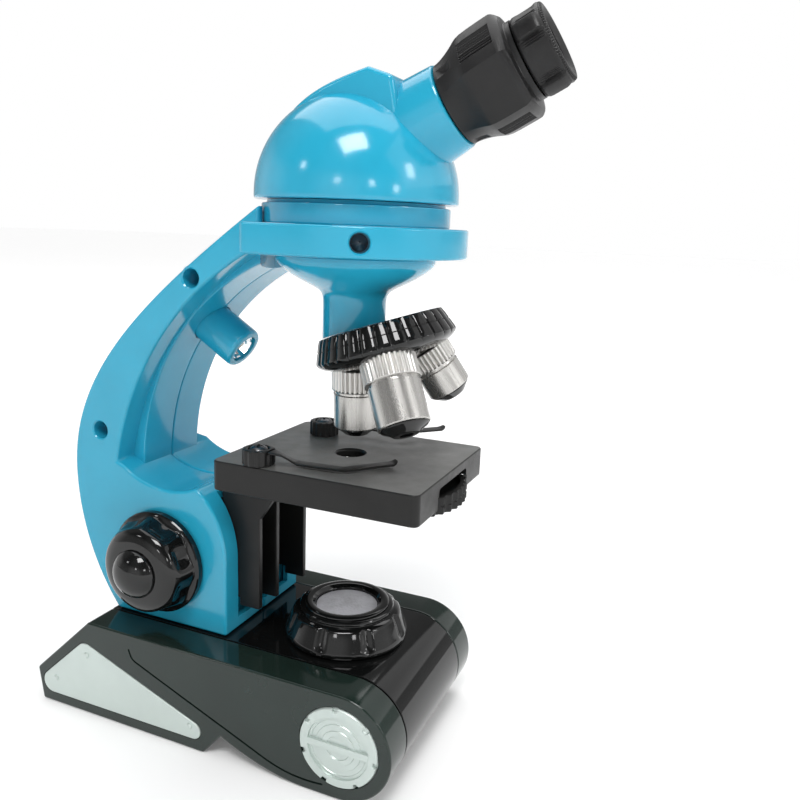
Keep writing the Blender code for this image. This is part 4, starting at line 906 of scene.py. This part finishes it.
seats = []
for nm, (deg, length, r) in OBJECTIVES.items():
    out = math.cos(math.radians(deg)) * BACK_WAY + math.sin(math.radians(deg)) * Vector((1, 0, 0))
    point = TURRET_C - TURRET_N * (TURRET_H / 2) + OBJ_RING * out
    aim = -math.cos(TILT) * TURRET_N + math.sin(TILT) * out
    seats.append(rod("c", 6.3, -12, 12, point, aim))
    ring_r, ring_low = r + 0.8, 12.0 if nm == "mid" else 13.2
    ring = skin("objective_%s_ring" % nm,
                [(6.0, RING_TOP), (ring_r - 0.9, RING_TOP), (ring_r - 0.3, RING_TOP + 0.2),
                 (ring_r, RING_TOP + 0.6), (ring_r, RING_TOP + 0.9, 0.7), (ring_r, ring_low - 1.5, 0.7),
                 (ring_r, ring_low - 1.2), (ring_r - 0.2, ring_low - 0.9), (6.0, ring_low - 0.9)],
                384, point, aim, KNURL, knurl, keep_axes=True)
    show(ring, "turret", "satin_chrome", angle=28)
    tube = skin("objective_%s_tube" % nm,
                [(4.0, length), (r - 0.9, length), (r - 0.35, length - 0.12), (r, length - 0.5),
                 (r + 0.1, ring_low + 1.2), (r + 0.15, ring_low + 0.5), (r - 0.35, ring_low + 0.2),
                 (r - 0.35, ring_low - 0.5), (r - 0.35, ring_low - 0.95), (6.0, ring_low - 0.95),
                 (6.0, -3.0), (4.0, -3.0)],
                160, point, aim, CHROME, keep_axes=True)
    show(tube, "turret", "satin_chrome", "objective_%s_barrel" % nm, angle=30, weighted=False)
    tip = skin("objective_%s_nose" % nm,
               [(2.4, length + 3.0), (4.2, length + 3.0), (4.7, length + 2.8), (5.6, length + 2.0),
                (r - 1.2, length + 0.75), (r - 0.75, length + 0.3), (r - 0.85, length), (3.7, length),
                (3.7, length - 3.0), (2.4, length - 3.0)],
               96, point, aim, BLACK)
    show(tip, "turret", "satin_black_plastic", "objective_%s_tip" % nm, angle=25)
    glassy = skin("objective_%s_glass" % nm,
                  [(0, length + 1.2), (1.2, length + 1.35), (2.4, length + 1.7), (2.4, length - 1),
                   (0, length - 1)],
                  48, point, aim, LENS)
    show(glassy, "turret", "glass", angle=50)
cut(turret, *seats)
show(turret, "turret", "gloss_black_plastic", "turret_disc", angle=28)

# ---- pieces kept from the frame ----------------------------------------
FINISH = {"gloss_black_plastic": BLACK, "satin_black_plastic": SATIN, "blue_plastic": BLUE,
          "charcoal_plastic": CHARCOAL, "silver_plastic": SILVER, "satin_chrome": CHROME, "steel": DARK_STEEL,
          "frosted_lens": FROST, "glass": LENS, "mirror": MIRROR, "led_resin": RESIN}
for sub in frame["record"]["subparts"]:
    node = frame["nodes"].get(sub["node"])
    if node:
        node.data.materials.clear()
        node.data.materials.append(FINISH[sub["material_slot"]])

# ---- floor, light and camera -------------------------------------------
FLOOR = Nodes("pale_floor")
FLOOR.put("Base Color", FLOOR.ramp(FLOOR.noise(2.0, 3), (0.3, (0.86, 0.86, 0.86)), (0.7, (0.90, 0.90, 0.90))))
FLOOR.put("Roughness", FLOOR.spread(FLOOR.noise(40, 3), 0.5, 0.65))
FLOOR.put("Specular IOR Level", 0.1)
FLOOR.put("Emission Color", (1.0, 1.0, 1.0, 1.0))
afar = FLOOR.add("ShaderNodeVectorMath", {0: FLOOR.coord}, operation="LENGTH").outputs["Value"]
FLOOR.put("Emission Strength", FLOOR.spread(afar, 0.10, 0.75, 0.25, 1.6))
floor = extrude("floor", rounded_rect(-9000, 9000, -9000, 9000, 2000, 8), -12.0, -0.05, "Z", FLOOR.mat)

# Studio: a pale band round the horizon that comes and goes with the heading, a dim ceiling,
# and plain white where the lens looks past the floor.
world = bpy.data.worlds.new("studio")
bpy.context.scene.world = world
world.use_nodes = True
nodes, join = world.node_tree.nodes, world.node_tree.links.new
heading = nodes.new("ShaderNodeTexCoord").outputs["Generated"]
axes = nodes.new("ShaderNodeSeparateXYZ")
join(heading, axes.inputs[0])
band = nodes.new("ShaderNodeValToRGB")
join(axes.outputs["Z"], band.inputs["Fac"])
for at in (0.30, 0.42):
    band.color_ramp.elements.new(at)
SKY = ((0.0, 0.95), (0.28, 0.80), (0.45, 0.24), (1.0, 0.22))
for element, (at, grey) in zip(band.color_ramp.elements, SKY):
    element.position = at
    element.color = (grey, grey, grey, 1.0)
turn = nodes.new("ShaderNodeMath")
turn.operation = "ARCTAN2"
join(axes.outputs["Y"], turn.inputs[0])
join(axes.outputs["X"], turn.inputs[1])
wave = nodes.new("ShaderNodeMath")
wave.operation = "MULTIPLY_ADD"
join(turn.outputs[0], wave.inputs[0])
wave.inputs[1].default_value = 4.0
wave.inputs[2].default_value = 1.2
swing = nodes.new("ShaderNodeMath")
swing.operation = "SINE"
join(wave.outputs[0], swing.inputs[0])
level = nodes.new("ShaderNodeMapRange")
join(swing.outputs[0], level.inputs["Value"])
for socket, value in (("From Min", -0.6), ("From Max", 0.6), ("To Min", 0.45), ("To Max", 1.05)):
    level.inputs[socket].default_value = value
studio = nodes["Background"]
join(band.outputs["Color"], studio.inputs["Color"])
join(level.outputs["Result"], studio.inputs["Strength"])
plain = nodes.new("ShaderNodeBackground")
plain.inputs["Color"].default_value = (1.0, 1.0, 1.0, 1.0)
seen = nodes.new("ShaderNodeLightPath").outputs["Is Camera Ray"]
choose = nodes.new("ShaderNodeMixShader")
join(seen, choose.inputs[0])
join(studio.outputs[0], choose.inputs[1])
join(plain.outputs[0], choose.inputs[2])
join(choose.outputs[0], nodes["World Output"].inputs["Surface"])

MIDDLE = Vector((0, -15, 150))


def softbox(name, azimuth, elevation, width, tall, radiance, distance=1400, roll=0.0):
    """A panel of light that looks at the middle of the microscope. Azimuth runs from +X
    towards +Y; width and tall are the angles it fills, in degrees."""
    az, el, ro = math.radians(azimuth), math.radians(elevation), math.radians(roll)
    out = Vector((math.cos(az) * math.cos(el), math.sin(az) * math.cos(el), math.sin(el)))
    across = Vector((-math.sin(az), math.cos(az), 0))
    x = across * math.cos(ro) + out.cross(across) * math.sin(ro)
    data = bpy.data.lights.new(name, "AREA")
    data.shape = "RECTANGLE"
    data.size, data.size_y = (2 * distance * MM * math.tan(math.radians(v) / 2) for v in (width, tall))
    data.energy = radiance * math.pi * data.size * data.size_y
    ob = bpy.data.objects.new(name, data)
    bpy.context.scene.collection.objects.link(ob)
    place = Matrix((x, out.cross(x), out)).transposed().to_4x4()
    place.translation = (MIDDLE + out * distance) * MM
    ob.matrix_world = place
    return ob


# name, azimuth, elevation, width, height, radiance
softbox("key", -161, 57, 23, 18, 15.0, roll=23)
softbox("overhead", 30, 72, 60, 60, 1.9)
softbox("front_wall", -62, 36, 80, 46, 0.7)
softbox("front_window", -91.5, 26.7, 9, 12, 9.0)
for i, (az, el) in enumerate(((141.6, 27.8), (-175, 17.3), (-138, 15.7), (-111.4, 11.4))):
    softbox("lamp_%d" % i, az, el, 6, 6, 9.0)

CAMERA_AT = (-257.47, -151.34, 198.17)
CAMERA_LENS = 35.377
CAMERA_AZ, CAMERA_EL, CAMERA_ROLL = (math.radians(v) for v in (-67.20, 12.36, 2.20))
away = Vector((math.sin(CAMERA_AZ) * math.cos(CAMERA_EL), -math.cos(CAMERA_AZ) * math.cos(CAMERA_EL),
               math.sin(CAMERA_EL)))
right = (-away).cross(Vector((0, 0, 1))).normalized()
up = right.cross(-away)
right_r = math.cos(CAMERA_ROLL) * right + math.sin(CAMERA_ROLL) * up
up_r = -math.sin(CAMERA_ROLL) * right + math.cos(CAMERA_ROLL) * up
view = Matrix((right_r, up_r, away)).transposed().to_4x4()
view.translation = Vector(CAMERA_AT) * MM
camera_data = bpy.data.cameras.new("camera")
camera_data.sensor_width = 36.0
camera_data.lens = CAMERA_LENS
camera_data.clip_start = 0.01
camera = bpy.data.objects.new("camera", camera_data)
bpy.context.scene.collection.objects.link(camera)
camera.matrix_world = view
bpy.context.scene.camera = camera
bpy.context.scene.view_settings.view_transform = "Standard"
